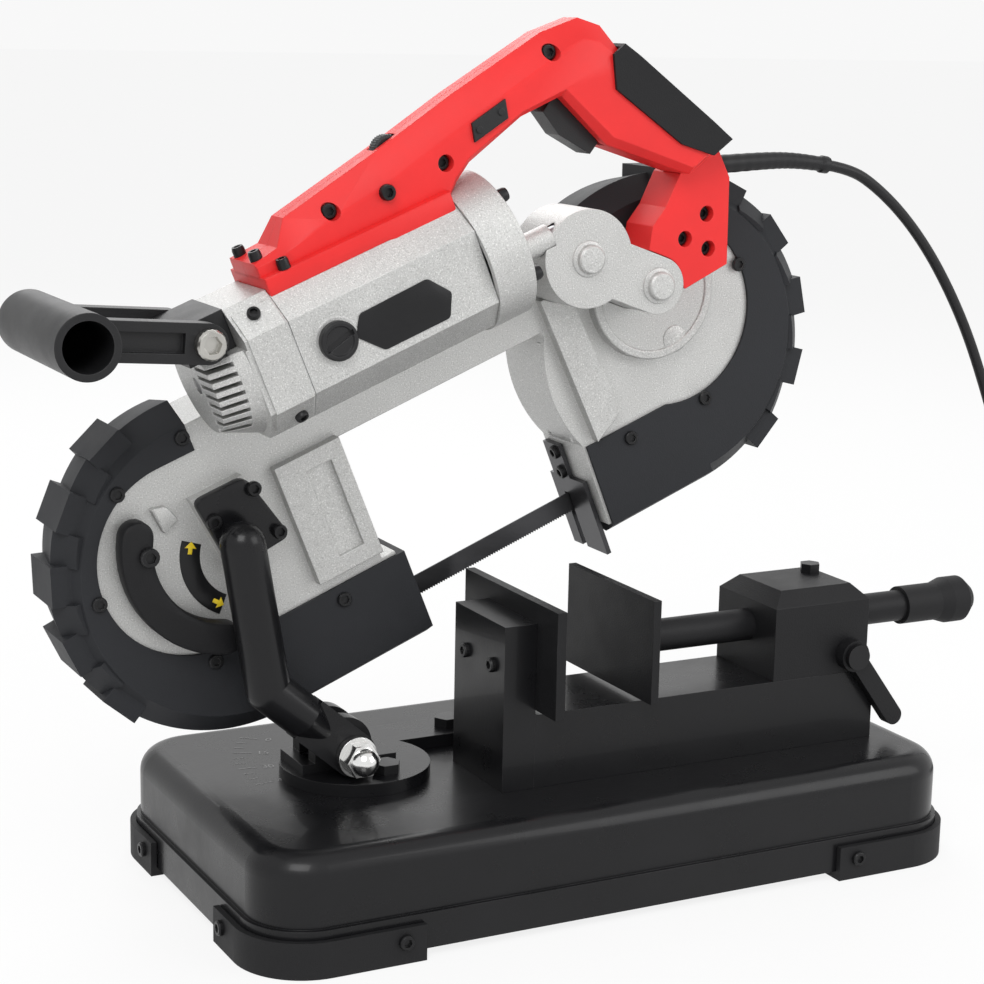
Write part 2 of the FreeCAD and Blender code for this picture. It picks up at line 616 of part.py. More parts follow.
EAR_LOW = "base_top + swivel_thick"
EARS = {"near": "saw_y + ear_near - ear_thick", "far": "saw_y + ear_far"}
ear_parts = []
for side, low in EARS.items():
    ear_parts.append(cylinder(f"ear_{side}", ("pivot_x", low, "pivot_z"), "ear_radius", "ear_thick", "y"))
    ear_parts.append(box(f"ear_leg_{side}", ("pivot_x - ear_radius", low, EAR_LOW),
                         ("2 * ear_radius", "ear_thick", f"pivot_z - ({EAR_LOW})")))
ear_base = box("ear_base", ("pivot_x - ear_radius - 8", EARS["near"], EAR_LOW),
               ("2 * ear_radius + 24", "ear_far - ear_near + 2 * ear_thick", "ear_foot"))
below_ears = box("below_ears",
                 ("pivot_x - 3 * ear_radius", f"{EARS['near']} - 1", f"{EAR_LOW} - 2 * ear_radius"),
                 ("6 * ear_radius", "6 * ear_thick", "2 * ear_radius"))
hinge_bore = cylinder("hinge_bore", ("pivot_x", "saw_y - 60", "pivot_z"), "hinge_radius + run_fit", "120",
                      "y")
node("hinge_bracket", cut("bracket", fuse("bracket_solid", *ear_parts, ear_base), below_ears, hinge_bore),
     hung=False)

BOLT_HEAD = "ear_thick * 0.6"
hinge_head = prism("hinge_head", ("pivot_x", "saw_y + ear_far + ear_thick", "pivot_z"), 6, "nut_radius",
                   BOLT_HEAD, "y")
hinge_shank = cylinder("hinge_shank",
                       ("pivot_x", "saw_y + eye_near - 2 * washer_thick - nut_height * 0.8", "pivot_z"),
                       "hinge_radius",
                       "ear_far + ear_thick - eye_near + 2 * washer_thick + nut_height * 0.8", "y")
hinge_bolt = fuse("hinge_bolt_solid", hinge_head, hinge_shank)

WASHER_Y = "saw_y + eye_near - part_gap"
washer = cylinder("washer", ("pivot_x", WASHER_Y, "pivot_z"), "washer_radius", "washer_thick * 2", "-y")
nut_hex = prism("nut_hex", ("pivot_x", f"{WASHER_Y} - washer_thick * 2", "pivot_z"), 6, "nut_radius",
                "nut_height", "-y")
nut_dome = ball("nut_dome", ("pivot_x", f"{WASHER_Y} - washer_thick * 2 - nut_height", "pivot_z"),
                "nut_radius * 0.8")
NUT_FLOOR = "saw_y + eye_near - 2 * washer_thick - nut_height * 0.8 - part_gap"
nut_bore = cylinder("nut_bore", ("pivot_x", NUT_FLOOR, "pivot_z"), "hinge_radius + run_fit", "60", "y")
node("hinge_bolt", hinge_bolt, cut("nut", fuse("nut_solid", washer, nut_hex, nut_dome), nut_bore), hung=False)


# Arm that carries the saw: screwed plate, bent tube, flattened eye on the hinge bolt

def offset_from(u, w, pairs):
    """Corner or screw places as texts, measured from a named point."""
    return [(f"{u} + ({du})", f"{w} + ({dw})") for du, dw in pairs]


def front_screws(name, places, face, length="screw_length", rise="screw_rise", head="screw_head"):
    """Screws driven into the front: the solids and the holes for them."""
    spots = [(u, face, w) for u, w in places]
    solids = [screw(f"{name}_{i}", at, "-y", head=head, rise=rise, length=length)
              for i, at in enumerate(spots)]
    holes = [screw_hole(f"{name}_hole_{i}", at, "-y", length=length) for i, at in enumerate(spots)]
    return solids, holes


PAD_CORNERS = offset_from("arm_top_u", "arm_top_w", [(-13, 30), (20, 30), (32, -14), (-7, -17)])
arm_screws, arm_holes = front_screws(
    "arm_screw", offset_from("arm_top_u", "arm_top_w", [(21.5, 22), (-7, 15), (26, -8)]),
                                     "-pad_rise - arm_plate")
arm_pad = plate("arm_pad", PAD_CORNERS, "0", "pad_rise")
node("arm_plate", cut("arm_plate_drilled", plate("arm_plate_body", PAD_CORNERS, "-pad_rise", "arm_plate"),
                      *arm_holes))

top = Vector(d.arm_top_u, d.tube_y, d.arm_top_w)
bend = Vector(d.arm_bend_u, d.tube_y, d.arm_bend_w)
pivot = Vector(d.pivot_u, d.tube_y, d.pivot_w)


def strut(name, start, end, radius, height):
    """Cylinder from one point towards another."""
    obj = doc.addObject("Part::Cylinder", name)
    obj.Placement = Placement(start, Rotation(Vector(0, 0, 1), end - start))
    obj.setExpression("Radius", bound(radius))
    obj.Height = height
    return obj


lower_run = (pivot - bend).Length - d.arm_flat
flat_start = bend + (pivot - bend).normalize() * lower_run
squeeze = doc.addObject("Part::Cone", "tube_squeeze")
squeeze.Placement = Placement(flat_start, Rotation(Vector(0, 0, 1), pivot - bend))
squeeze.setExpression("Radius1", bound("tube_radius"))
squeeze.setExpression("Radius2", bound("eye_thick / 2"))
squeeze.setExpression("Height", bound("arm_flat * 0.45"))
slab = doc.addObject("Part::Box", "eye_slab")
slab_angle = math.degrees(math.atan2(bend.z - pivot.z, bend.x - pivot.x))
slab_turn = Rotation(Vector(0, -1, 0), slab_angle)
slab.Placement = Placement(Vector(pivot.x, d.eye_near,
                                  pivot.z) + slab_turn.multVec(Vector(0, 0, -d.eye_radius)), slab_turn)
slab.setExpression("Length", bound("arm_flat"))
slab.setExpression("Width", bound("eye_thick"))
slab.setExpression("Height", bound("2 * eye_radius"))
eye = cylinder("arm_eye", ("pivot_u", "eye_near", "pivot_w"), "eye_radius", "eye_thick", "y")
eye_bore = cylinder("eye_bore", ("pivot_u", "eye_near - 1", "pivot_w"), "hinge_radius + run_fit",
                    "eye_thick + 2", "y")
stub = cylinder("arm_stub", ("arm_top_u", "-pad_rise - arm_plate", "arm_top_w"), "tube_radius * 0.65",
                "-tube_y - pad_rise - arm_plate", "-y")
arm_parts = [strut("upper_tube", top, bend, "tube_radius", (bend - top).Length),
             strut("lower_tube", bend, pivot, "tube_radius", lower_run),
             ball("top_elbow", ("arm_top_u", "tube_y", "arm_top_w"), "tube_radius"),
             ball("bend_elbow", ("arm_bend_u", "tube_y", "arm_bend_w"), "tube_radius"),
             stub, squeeze, slab, eye]
node("arm_tube", cut("arm", fuse("arm_solid", *arm_parts), eye_bore))

# Main frame: one casting with two wheel housings, a spine and the two blade guide noses

DRIVE_U = "(idler_u + wheel_spacing)"
HOUSING_TOP = "(wheel_w + frame_radius)"
HOUSING_LOW = "(wheel_w - frame_radius)"


def barrel_block(name, start, end, grow):
    """Square block along the motor axis with flat corners, grown all round."""
    half = f"(motor_radius + ({grow}))"
    reach = f"(2 * {half} - barrel_chamfer)"
    length = f"{end} - ({start})"
    square = box(f"{name}_square", (start, f"motor_y - {half}", f"motor_w - {half}"),
                 (length, f"2 * {half}", f"2 * {half}"))
    turned = box(f"{name}_turned", (start, "motor_y", f"motor_w - {reach}"),
                 (length, f"sqrt(2) * {reach}", f"sqrt(2) * {reach}"), Rotation(Vector(1, 0, 0), 45))
    return common(name, square, turned)


def frame_outline(name, grow, near, depth):
    """Outline of the casting grown or shrunk all round, as a block from one depth to another."""
    housings = [cylinder(f"{name}_housing_{i}", (u, near, "wheel_w"), f"frame_radius + ({grow})", depth, "y")
                for i, u in enumerate(("idler_u", DRIVE_U))]
    tall = f"2 * (frame_radius + ({grow}))"
    low = f"{HOUSING_LOW} - ({grow})"
    left = box(f"{name}_left", ("idler_u", near, low), (f"throat_left - idler_u + ({grow})", depth, tall))
    right = box(f"{name}_right", (f"throat_right - ({grow})", near, low),
                (f"{DRIVE_U} - throat_right + ({grow})", depth, tall))
    spine = box(f"{name}_spine", ("idler_u", near, f"spine_low - ({grow})"),
                ("wheel_spacing", depth, f"{HOUSING_TOP} - spine_low + 2 * ({grow})"))
    nose_low = f"{HOUSING_LOW} - nose_drop - ({grow})"
    nose_tall = f"nose_top + nose_drop - {HOUSING_LOW} + 2 * ({grow})"
    left_nose = box(f"{name}_left_nose", (f"idler_u + nose_start - ({grow})", near, nose_low),
                    (f"throat_left + nose_reach - idler_u - nose_start + 2 * ({grow})", depth, nose_tall))
    right_nose = box(f"{name}_right_nose", (f"throat_right - ({grow})", near, nose_low),
                     (f"{DRIVE_U} - nose_start - throat_right + 2 * ({grow})", depth, nose_tall))
    return fuse(name, *housings, left, right, spine, left_nose, right_nose)


def shaft_place(centre, module, teeth, others, angle):
    """Second axle of a gear pair, at its centre distance and angle from the first."""
    reach = module * (teeth + others) / 2
    return centre + Vector(reach * math.cos(math.radians(angle)), 0, reach * math.sin(math.radians(angle)))


drive_axis = Vector(d.idler_u + d.wheel_spacing, 0, d.wheel_w)
second_axis = shaft_place(drive_axis, d.coarse_module, d.second_pinion, d.drive_teeth, d.second_angle)
first_axis = shaft_place(second_axis, d.fine_module, d.first_pinion, d.second_gear, d.first_angle)


def place_text(axis):
    return f"{axis.x:.6f}", f"{axis.z:.6f}"


FIRST = place_text(first_axis)
SECOND = place_text(second_axis)
cover_link_length = (first_axis - second_axis).Length
cover_link_turn = Rotation(Vector(0, -1, 0), d.first_angle)


def cover_block(name, grow, near, depth):
    """Two lobed block of the gear cover."""
    large = cylinder(f"{name}_large", (FIRST[0], near, FIRST[1]), f"lobe_large + ({grow})", depth, "y")
    small = cylinder(f"{name}_small", (SECOND[0], near, SECOND[1]), f"lobe_small + ({grow})", depth, "y")
    width = f"(lobe_small + ({grow}))"
    corner = cover_link_turn.multVec(Vector(0, 0, -1))
    link = box(f"{name}_link",
               (f"{SECOND[0]} + {corner.x:.6f} * {width}", near, f"{SECOND[1]} + {corner.z:.6f} * {width}"),
               (f"{cover_link_length:.6f}", depth, f"2 * {width}"), cover_link_turn)
    return fuse(name, large, small, link)


BUMPER_SCREWS = {
    "left": [(19.8, 66.8), (-26.4, 54), (-59.9, 1.4), (-12.4, -62), (72.5, -66)],
    "right": [(281.9, -62), (339.3, -62), (390, 7), (372, 52)],
}
LIP_FACE = "-bumper_lip"
lip_places = [(f"{u}", f"{w}") for side in BUMPER_SCREWS.values() for u, w in side]
lip_screws, lip_holes = front_screws("bumper_screw", lip_places, LIP_FACE,
                                     length="bumper_lip + face_thick / 2",
                                     rise="screw_rise / 2")

SLIDE_NEAR = "face_thick + part_gap"
rails = [box(f"rail_{side}", ("idler_u - 2 * slider_half", "face_thick", f"wheel_w + {low}"),
             ("4 * slider_half", "slider_thick", "slider_half / 3"))
         for side, low in (("upper", "slider_half + part_gap"),
                           ("lower", "-slider_half - part_gap - slider_half / 3"))]
raised_disc = cut("raised_disc",
                  cylinder("disc_block", ("disc_u", "0", "disc_w"), "disc_radius", "disc_rise", "-y"),
                  cover_block("disc_relief", "part_gap", "-cover_rise", "cover_rise"))
bar_block = plate("bar_block", [("throat_right + 2", "spine_low + 20"),
                                ("throat_right + 4 + bar_width", "spine_low + 22"),
                                ("throat_right + 12 + bar_width", "nose_top + 14"),
                                ("throat_right + 8", "nose_top + 3")],
                  "0", "bar_rise")
throat_bar = cut("throat_bar", bar_block, cover_block("bar_relief", "part_gap", "-cover_rise", "cover_rise"))
neck_panel = cut("neck_panel",
                 box("neck_block", ("throat_left - 3 * bar_width + 8", "-bar_rise", "nose_top + 6"),
                                   ("3 * bar_width - 8", "bar_rise", "spine_low - nose_top - 4")),
                 box("neck_recess", ("throat_left - 2 * bar_width + 8", "-bar_rise - 1", "nose_top + 16"),
                     ("bar_width", "bar_rise / 2 + 1", "spine_low - nose_top - 24")))
pinion_bump = cylinder("pinion_bump", (FIRST[0], "0", FIRST[1]),
                       "fine_module * (first_pinion / 2 + 1) + 1 + frame_wall",
                       "face_thick + gear_width + 6", "y")
bump_hollow = cylinder("bump_hollow", (FIRST[0], "face_thick", FIRST[1]),
                       "fine_module * (first_pinion / 2 + 1) + 1",
                       "gear_width + 4", "y")
casting = fuse("casting", frame_outline("casting_outside", "0", "0", "frame_depth"), arm_pad, raised_disc,
               throat_bar,
               neck_panel, pinion_bump)
hollow = frame_outline("casting_inside", "-frame_wall", "face_thick", "frame_depth")
SLOT_LOW = f"{HOUSING_LOW} - nose_drop + frame_wall"
slots = [box(f"blade_slot_{side}", (u, "wheel_mid - 4", SLOT_LOW), ("3 * frame_wall", "8", "blade_width + 8"))
         for side, u in (("left", "throat_left + nose_reach - 2 * frame_wall"),
                         ("right", "throat_right - frame_wall"))]
barrel_seat = barrel_block("barrel_seat", "cap_left - part_gap", "motor_right", "part_gap")
head_seat = cylinder("head_seat", ("motor_right - part_gap", "motor_y", "motor_w"), "head_radius + part_gap",
                     "head_right - motor_right + 2 * part_gap", "x")
shaft_holes = [cylinder("axle_hole", (DRIVE_U, "-disc_rise - 1", "wheel_w"), "axle_radius + run_fit",
                        "face_thick + disc_rise + 2", "y"),
               cylinder("first_hole", (FIRST[0], "-1", FIRST[1]), "cross_radius + run_fit",
                        "face_thick + 2", "y"),
               cylinder("second_hole", (SECOND[0], "-disc_rise - 1", SECOND[1]), "cross_radius + run_fit",
                        "face_thick + disc_rise + 2", "y")]
LEVER_BOLT = dict(shank="screw_shank * 1.6", length="-lever_near + part_gap + face_thick - 1")
LEVER_BOLT_AT = ("lever_pivot_u", "lever_near - part_gap", "lever_pivot_w")
lever_hole = screw_hole("lever_hole", LEVER_BOLT_AT, "-y", **LEVER_BOLT)
stop_spots = [("throat_right - 3 - part_gap", "wheel_mid - 5", f"nose_top + {rise}") for rise in (-6, -20)]
stop_holes = [screw_hole(f"stop_hole_{i}", at, "-x", length="screw_length - 4")
              for i, at in enumerate(stop_spots)]
HANDLE_AT = ("motor_left", "foot_high")
BRACKET_SCREWS = offset_from(*HANDLE_AT, [(279, -93), (260, -101), (273, -113)])
BRACKET_NEAR = "bracket_back - bracket_thick"
BRACKET_SHANK = "-bracket_back + bracket_thick - bore_depth + face_thick / 2"
bracket_screws, bracket_holes = front_screws("bracket_screw", BRACKET_SCREWS, f"{BRACKET_NEAR} + bore_depth",
                                             length=BRACKET_SHANK)
casting_cut = cut("casting_cut", casting, hollow, bump_hollow, *slots, barrel_seat, head_seat, *shaft_holes,
                  lever_hole,
                  *lip_holes, *arm_holes, *stop_holes, *bracket_holes)
node("main_frame", fuse("casting_railed", casting_cut, *rails))

# Rubber bumpers round the two wheel housings


def bumper_ribs(name, wheel_u, angles):
    """Raised ribs standing on the round of a bumper."""
    ribs = []
    for angle in angles:
        turn = Rotation(Vector(0, -1, 0), angle)
        reach = d.bumper_back - d.nub_size / 2
        corner = Vector(wheel_u, d.bumper_mid_y - d.nub_size,
                        d.wheel_w) + turn.multVec(Vector(reach, 0, -d.nub_size * 1.3))
        rib = doc.addObject("Part::Box", f"{name}_{angle % 360}")
        rib.Placement = Placement(corner, turn)
        rib.setExpression("Length", bound("bumper_mid - bumper_back + nub_size / 2 + 3"))
        rib.setExpression("Width", bound("frame_depth - bumper_mid_y"))
        rib.setExpression("Height", bound("nub_size * 2.6"))
        ribs.append(rib)
    return ribs


def nose_block(name, start, end, upper):
    """Straight nose of a bumper with the same section as its round part."""
    section = [(-d.bumper_lip, d.wheel_w - d.bumper_front - d.nose_drop),
               (d.bumper_mid_y, d.wheel_w - d.bumper_mid),
               (d.frame_depth, d.wheel_w - d.bumper_back), (d.frame_depth, upper), (-d.bumper_lip, upper)]
    corners = [Vector(start, y, w) for y, w in section]
    face = Part.Face(Part.makePolygon(corners + corners[:1]))
    return shaped(name, face.extrude(Vector(end - start, 0, 0)))


def bumper(side, wheel, window_u, window, rib_angles, cutaway):
    """Shell round one housing, open in front as a window and cut away beside the throat."""
    lip = f"{side}_bumper"
    front = cone(f"{lip}_front", (wheel, "-bumper_lip", "wheel_w"), "bumper_front", "bumper_mid",
                 "bumper_lip + bumper_mid_y", "y")
    back = cone(f"{lip}_back", (wheel, "bumper_mid_y", "wheel_w"), "bumper_mid", "bumper_back",
                "frame_depth - bumper_mid_y", "y")
    wheel_u = d.idler_u if side == "left" else d.idler_u + d.wheel_spacing
    nose_end = d.left_nose if side == "left" else d.right_nose
    block = nose_block(f"{lip}_nose", wheel_u, nose_end, d.window_w - window_size(side))
    hole = cylinder(f"{lip}_window", (window_u, "-bumper_lip - 1", "window_w"), window, "bumper_lip + 2", "y")
    outside = fuse(f"{lip}_solid", front, back, block, *bumper_ribs(f"{lip}_rib", wheel_u, rib_angles))
    return cut(f"{lip}_shell", outside, frame_outline(f"{lip}_seat", "part_gap", "0", "frame_depth + 1"),
               hole, *cutaway,
               *lip_holes, *bumper_reliefs(side))


def window_size(side):
    return d.left_window if side == "left" else d.right_window - 4


def bumper_reliefs(side):
    """Room for what stands beside a bumper: motor and blade left, gear cover and bracket right."""
    if side == "left":
        cap = cylinder("cap_relief", ("cap_left - 2 * part_gap", "motor_y", "motor_w"), "motor_radius + 1",
                       "100", "x")
        mouth = box("nose_mouth", ("throat_left + nose_reach - 1", "wheel_mid - 4", SLOT_LOW),
                    ("left_nose - throat_left - nose_reach + 2", "8", "blade_width + 8"))
        return [cap, mouth]
    bump = cylinder("bump_relief", (FIRST[0], "-1", FIRST[1]),
                    "fine_module * (first_pinion / 2 + 1) + 1 + frame_wall + part_gap",
                    "face_thick + gear_width + 8", "y")
    disc = cylinder("disc_seat", ("disc_u", "-disc_rise - 1", "disc_w"), "disc_radius + part_gap",
                    "disc_rise + 1", "y")
    return [cover_block("cover_relief", "part_gap", "-cover_rise", "cover_rise + part_gap"), bump, disc,
            *bracket_holes]


left_open = box("left_open", ("left_window_u", "-bumper_lip - 1", "window_w - left_window"),
                ("left_nose - left_window_u + 9", "bumper_lip + 2", "2 * left_window"))
left_away = box("left_away", ("left_bumper_top", "-bumper_lip - 1", "window_w - left_window"),
                ("left_nose - left_bumper_top + 9", "frame_depth + 9", "3 * left_window"))
right_open = box("right_open", ("right_nose - 9", "-bumper_lip - 1", "window_w - right_window + 4"),
                 ("right_window_u - right_nose + 9", "bumper_lip + 2", "2 * right_window - 8"))
right_away = box("right_away", ("right_nose - 99", "-bumper_lip - 1", "window_w - right_window + 4"),
                 ("right_bumper_top - right_nose + 99", "frame_depth + 9", "3 * right_window"))
right_end = box("right_end", ("right_nose - 99", "-bumper_lip - 1", f"{HOUSING_LOW} - 30"),
                ("99", "frame_depth + 9", "99"))
node("left_bumper", bumper("left", "idler_u", "left_window_u", "left_window", (112, 136, 160, 184, 208),
                           [left_open, left_away]))
node("right_bumper", bumper("right", DRIVE_U, "right_window_u", "right_window", (-62, -36, -10, 16, 42, 68),
                            [right_open, right_away, right_end]))

# Wheels with rubber tyres, and the blade round them

WHEEL_NEAR = "wheel_mid - tyre_width / 2"
RIM = "tyre_radius - tyre_thick"
SPOKE_HOLES = 6


def wheel(name, u):
    """Cast wheel: rim, pierced web and bored hub."""
    near = WHEEL_NEAR
    solid = cylinder(f"{name}_blank", (u, near, "wheel_w"), RIM, "tyre_width", "y")
    web_gap = "(tyre_width - web_thick) / 2"
    ring = f"{RIM} - rim_thick"
    dishes = [cut(f"{name}_dish_{i}",
                  cylinder(f"{name}_dish_block_{i}", (u, y, "wheel_w"), ring, web_gap, "y"),
                  cylinder(f"{name}_dish_hub_{i}", (u, y, "wheel_w"), "hub_radius", web_gap, "y"))
              for i, y in enumerate((near, "wheel_mid + web_thick / 2"))]
    middle = f"(hub_radius + {ring}) / 2"
    holes = [cylinder(f"{name}_hole_{i}", (f"{u} + {middle} * cos({360 / SPOKE_HOLES * i})", near,
                                           f"wheel_w + {middle} * sin({360 / SPOKE_HOLES * i})"),
                      f"({ring} - hub_radius) / 3", "tyre_width", "y") for i in range(SPOKE_HOLES)]
    bore = cylinder(f"{name}_bore", (u, f"{near} - 1", "wheel_w"), "axle_radius + run_fit",
                    "tyre_width + 2", "y")
    return cut(name, solid, *dishes, *holes, bore)


def tyre(name, u):
    """Rubber ring on a wheel's rim."""
    return cut(name, cylinder(f"{name}_round", (u, WHEEL_NEAR, "wheel_w"), "tyre_radius", "tyre_width", "y"),
               cylinder(f"{name}_inside", (u, f"{WHEEL_NEAR} - 1", "wheel_w"), f"{RIM} + run_fit",
                        "tyre_width + 2", "y"))


node("idler_wheel", wheel("idler", "idler_u"))
node("idler_tyre", tyre("idler_ring", "idler_u"))
node("drive_wheel", wheel("drive", DRIVE_U))
node("drive_tyre", tyre("drive_ring", DRIVE_U))
node("drive_axle", cylinder("drive_shaft", (DRIVE_U, "part_gap", "wheel_w"), "axle_radius",
                            "wheel_mid + tyre_width / 2", "y"))

slider_block = box("slider_block", ("idler_u - slider_half", SLIDE_NEAR, "wheel_w - slider_half"),
                   ("2 * slider_half", "slider_thick", "2 * slider_half"))
slider_axle = cylinder("slider_axle", ("idler_u", SLIDE_NEAR, "wheel_w"), "axle_radius",
                       f"wheel_mid + tyre_width / 2 - ({SLIDE_NEAR}) + 2", "y")
slider_collar = cylinder("slider_collar", ("idler_u", SLIDE_NEAR, "wheel_w"), "axle_radius * 1.6",
                         f"{WHEEL_NEAR} - part_gap - ({SLIDE_NEAR})", "y")
node("tension_block", fuse("slider", slider_block, slider_axle, slider_collar))


def blade_shape():
    """Endless blade: a flat band round both wheels, twisted on edge along the cutting run."""
    inner = d.tyre_radius + d.blade_gap
    outer = inner + d.blade_thick
    near = d.wheel_mid - d.blade_width / 2
    left = Vector(d.idler_u, near, d.wheel_w)
    right = left + Vector(d.wheel_spacing, 0, 0)
    up = Vector(0, 0, 1)
    side = Vector(1, 0, 0)

    def half_turn(radius):
        arcs = [Part.Arc(left - up * radius, left - side * radius, left + up * radius),
                Part.LineSegment(left + up * radius, right + up * radius),
                Part.Arc(right + up * radius, right + side * radius, right - up * radius)]
        return [arc.toShape() for arc in arcs]

    ends = [Part.LineSegment(left - up * inner, left - up * outer).toShape(),
            Part.LineSegment(right - up * inner, right - up * outer).toShape()]
    band = Part.Face(Part.Wire(Part.__sortEdges__(half_turn(inner) + half_turn(outer) + ends)))
    band = band.extrude(Vector(0, d.blade_width, 0))
    middle_w = d.wheel_w - inner - d.blade_thick / 2

    def section(u, turn):
        """Blade section at a place along the saw, turned about its middle."""
        across = Vector(0, math.cos(turn), -math.sin(turn)) * (d.blade_width / 2)
        through = Vector(0, math.sin(turn), math.cos(turn)) * (d.blade_thick / 2)
        centre = Vector(u, d.wheel_mid, middle_w)
        corners = [centre + across + through, centre - across + through, centre - across - through,
                   centre + across - through]
        return Part.makePolygon(corners + corners[:1])

    def twist(start, end, turn_start, turn_end):
        steps = 9
        return Part.makeLoft([section(start + (end - start) * i / steps,
                                      turn_start + (turn_end - turn_start) * i / steps)
                              for i in range(steps + 1)], True, True)

    cut_start = d.throat_left - d.bar_width / 2
    cut_end = d.throat_right + 1.2 * d.bar_width
    flat_left = left.x + d.twist_start
    flat_right = right.x - d.twist_start
    upright = math.pi / 2
    pieces = [Part.makeBox(d.twist_start, d.blade_width, d.blade_thick,
                           Vector(left.x, near, middle_w - d.blade_thick / 2)),
              twist(flat_left, cut_start, 0, upright),
              twist(cut_end, flat_right, upright, 0),
              Part.makeBox(d.twist_start, d.blade_width, d.blade_thick,
                           Vector(flat_right, near, middle_w - d.blade_thick / 2))]
    low = middle_w - d.blade_width / 2
    edge = [Vector(cut_start, 0, low)]
    teeth = int((d.throat_right - d.throat_left - d.nose_reach) / d.tooth_pitch)
    for i in range(teeth):
        u = d.throat_left + d.nose_reach + i * d.tooth_pitch
        edge += [Vector(u, 0, low), Vector(u + d.tooth_pitch * 0.35, 0, low + d.tooth_depth)]
    edge += [Vector(d.throat_right, 0, low), Vector(cut_end, 0, low), Vector(cut_end, 0, low + d.blade_width),
             Vector(cut_start, 0, low + d.blade_width)]
    run = Part.Face(Part.makePolygon(edge + edge[:1])).extrude(Vector(0, d.blade_thick, 0))
    run.translate(Vector(0, d.wheel_mid - d.blade_thick / 2, 0))
    return band.fuse(pieces + [run]).removeSplitter()


blade = shaped("blade_band", blade_shape())
node("blade", blade)

GUIDE_LOW = f"{HOUSING_LOW} - nose_drop + frame_wall + part_gap"
BLADE_BACK = "wheel_w - tyre_radius - blade_gap - blade_thick / 2 + blade_width / 2"
guides = []
for side, u in (("left", "throat_left - bar_width / 2 + part_gap"),
                ("right", "throat_right + frame_wall + part_gap")):
    block = box(f"guide_block_{side}", (u, "face_thick", GUIDE_LOW),
                ("bar_width - 3", "wheel_mid + 9 - face_thick", "32"))
    slot = box(f"guide_slot_{side}",
               (f"{u} - 1", "wheel_mid - blade_thick / 2 - part_gap", f"{GUIDE_LOW} - 1"),
               ("bar_width", "blade_thick + 2 * part_gap", f"{BLADE_BACK} + part_gap - ({GUIDE_LOW}) + 1"))
    guides.append(cut(f"guide_{side}", block, slot))
node("blade_guides", *guides)

# Work stop: a forked plate across the blade in front of the right guide

STOP_U = "throat_right - 3 - part_gap"
STOP_LOW = "wheel_w - 115"
STOP_SPLIT = "wheel_w - 68"
stop_stem = box("stop_stem", (STOP_U, "wheel_mid - 11", STOP_SPLIT),
                ("3", "20", f"nose_top - 1 - ({STOP_SPLIT})"))
stop_yoke = box("stop_yoke", (STOP_U, "wheel_mid - 28", f"{STOP_SPLIT} - 8"), ("3", "42", "12"))
stop_near = box("stop_near", (STOP_U, "wheel_mid - 28", STOP_LOW),
                ("3", "25", f"{STOP_SPLIT} - ({STOP_LOW})"))
stop_far = box("stop_far", (STOP_U, "wheel_mid + 3", STOP_LOW), ("3", "11", f"{STOP_SPLIT} - ({STOP_LOW})"))
node("work_stop", cut("stop", fuse("stop_solid", stop_stem, stop_yoke, stop_near, stop_far), *stop_holes))
stop_screws = [screw(f"stop_screw_{i}", at, "-x", length="screw_length - 4")
               for i, at in enumerate(stop_spots)]

# Gear train between the motor and the drive wheel


def spur_gear(module, teeth, bore, near, width, axis, turn=0.0):
    """Spur gear with involute flanks, thinned by the backlash."""
    pitch = module * teeth / 2
    base = pitch * math.cos(math.radians(20))
    tip = pitch + module
    root = pitch - 1.25 * module
    half_pitch_tooth = math.pi / (2 * teeth) - d.backlash / (2 * pitch)

    def involute(radius):
        pressure = math.acos(min(1.0, base / radius))
        return math.tan(pressure) - pressure

    lowest = max(base, root)
    flank_radii = [lowest + (tip - lowest) * i / 4 for i in range(5)]
    points = []
    for tooth in range(int(teeth)):
        middle = math.radians(turn) + 2 * math.pi * tooth / teeth
        half = [half_pitch_tooth + involute(pitch) - involute(radius) for radius in flank_radii]
        left = [(root, middle - half[0])] + [(r, middle - h) for r, h in zip(flank_radii, half)]
        right = [(r, middle + h) for r,
                 h in zip(reversed(flank_radii), reversed(half))] + [(root, middle + half[0])]
        points += left + right
    corners = [axis + Vector(r * math.cos(a), near, r * math.sin(a)) for r, a in points]
    solid = Part.Face(Part.makePolygon(corners + corners[:1])).extrude(Vector(0, width, 0))
    return solid.cut(Part.makeCylinder(bore, width + 2, axis + Vector(0, near - 1, 0), Vector(0, 1, 0)))


def meshing_turn(angle, teeth, other_teeth, other_turn):
    """Turn of a gear whose tooth space meets the other gear's tooth on the line between the axles."""
    other_side = angle + 180
    phase = (other_side - other_turn) * other_teeth / 360
    return angle + (phase + 0.5) * 360 / teeth


fine_near = d.face_thick + 2
coarse_near = fine_near + d.gear_width + 2
shaft_bore = d.cross_radius + d.run_fit
drive_turn = 0.0
second_turn = meshing_turn(d.second_angle + 180, d.second_pinion, d.drive_teeth, drive_turn)
first_turn = meshing_turn(d.first_angle + 180, d.first_pinion, d.second_gear, second_turn)
node("drive_gear", shaped("drive_gear_solid", spur_gear(
    d.coarse_module, d.drive_teeth, d.axle_radius + d.run_fit, coarse_near, d.gear_width, drive_axis,
                                                        drive_turn)))
second_pinion = shaped("second_pinion_solid", spur_gear(
    d.coarse_module, d.second_pinion, shaft_bore, coarse_near, d.gear_width, second_axis, second_turn))
node("second_gear", shaped("second_gear_solid", spur_gear(
    d.fine_module, d.second_gear, shaft_bore, fine_near, d.gear_width, second_axis, second_turn)))
second_rod = cylinder("second_rod", (SECOND[0], "-disc_rise", SECOND[1]), "cross_radius",
                      "disc_rise + face_thick + 2 * gear_width + 5", "y")
node("second_shaft", second_rod, second_pinion)
first_pinion = shaped("first_pinion_solid", spur_gear(
    d.fine_module, d.first_pinion, shaft_bore, fine_near, d.gear_width, first_axis, first_turn))
WORM_W = "(motor_w - head_module * (armature_teeth + worm_teeth) / 2)"
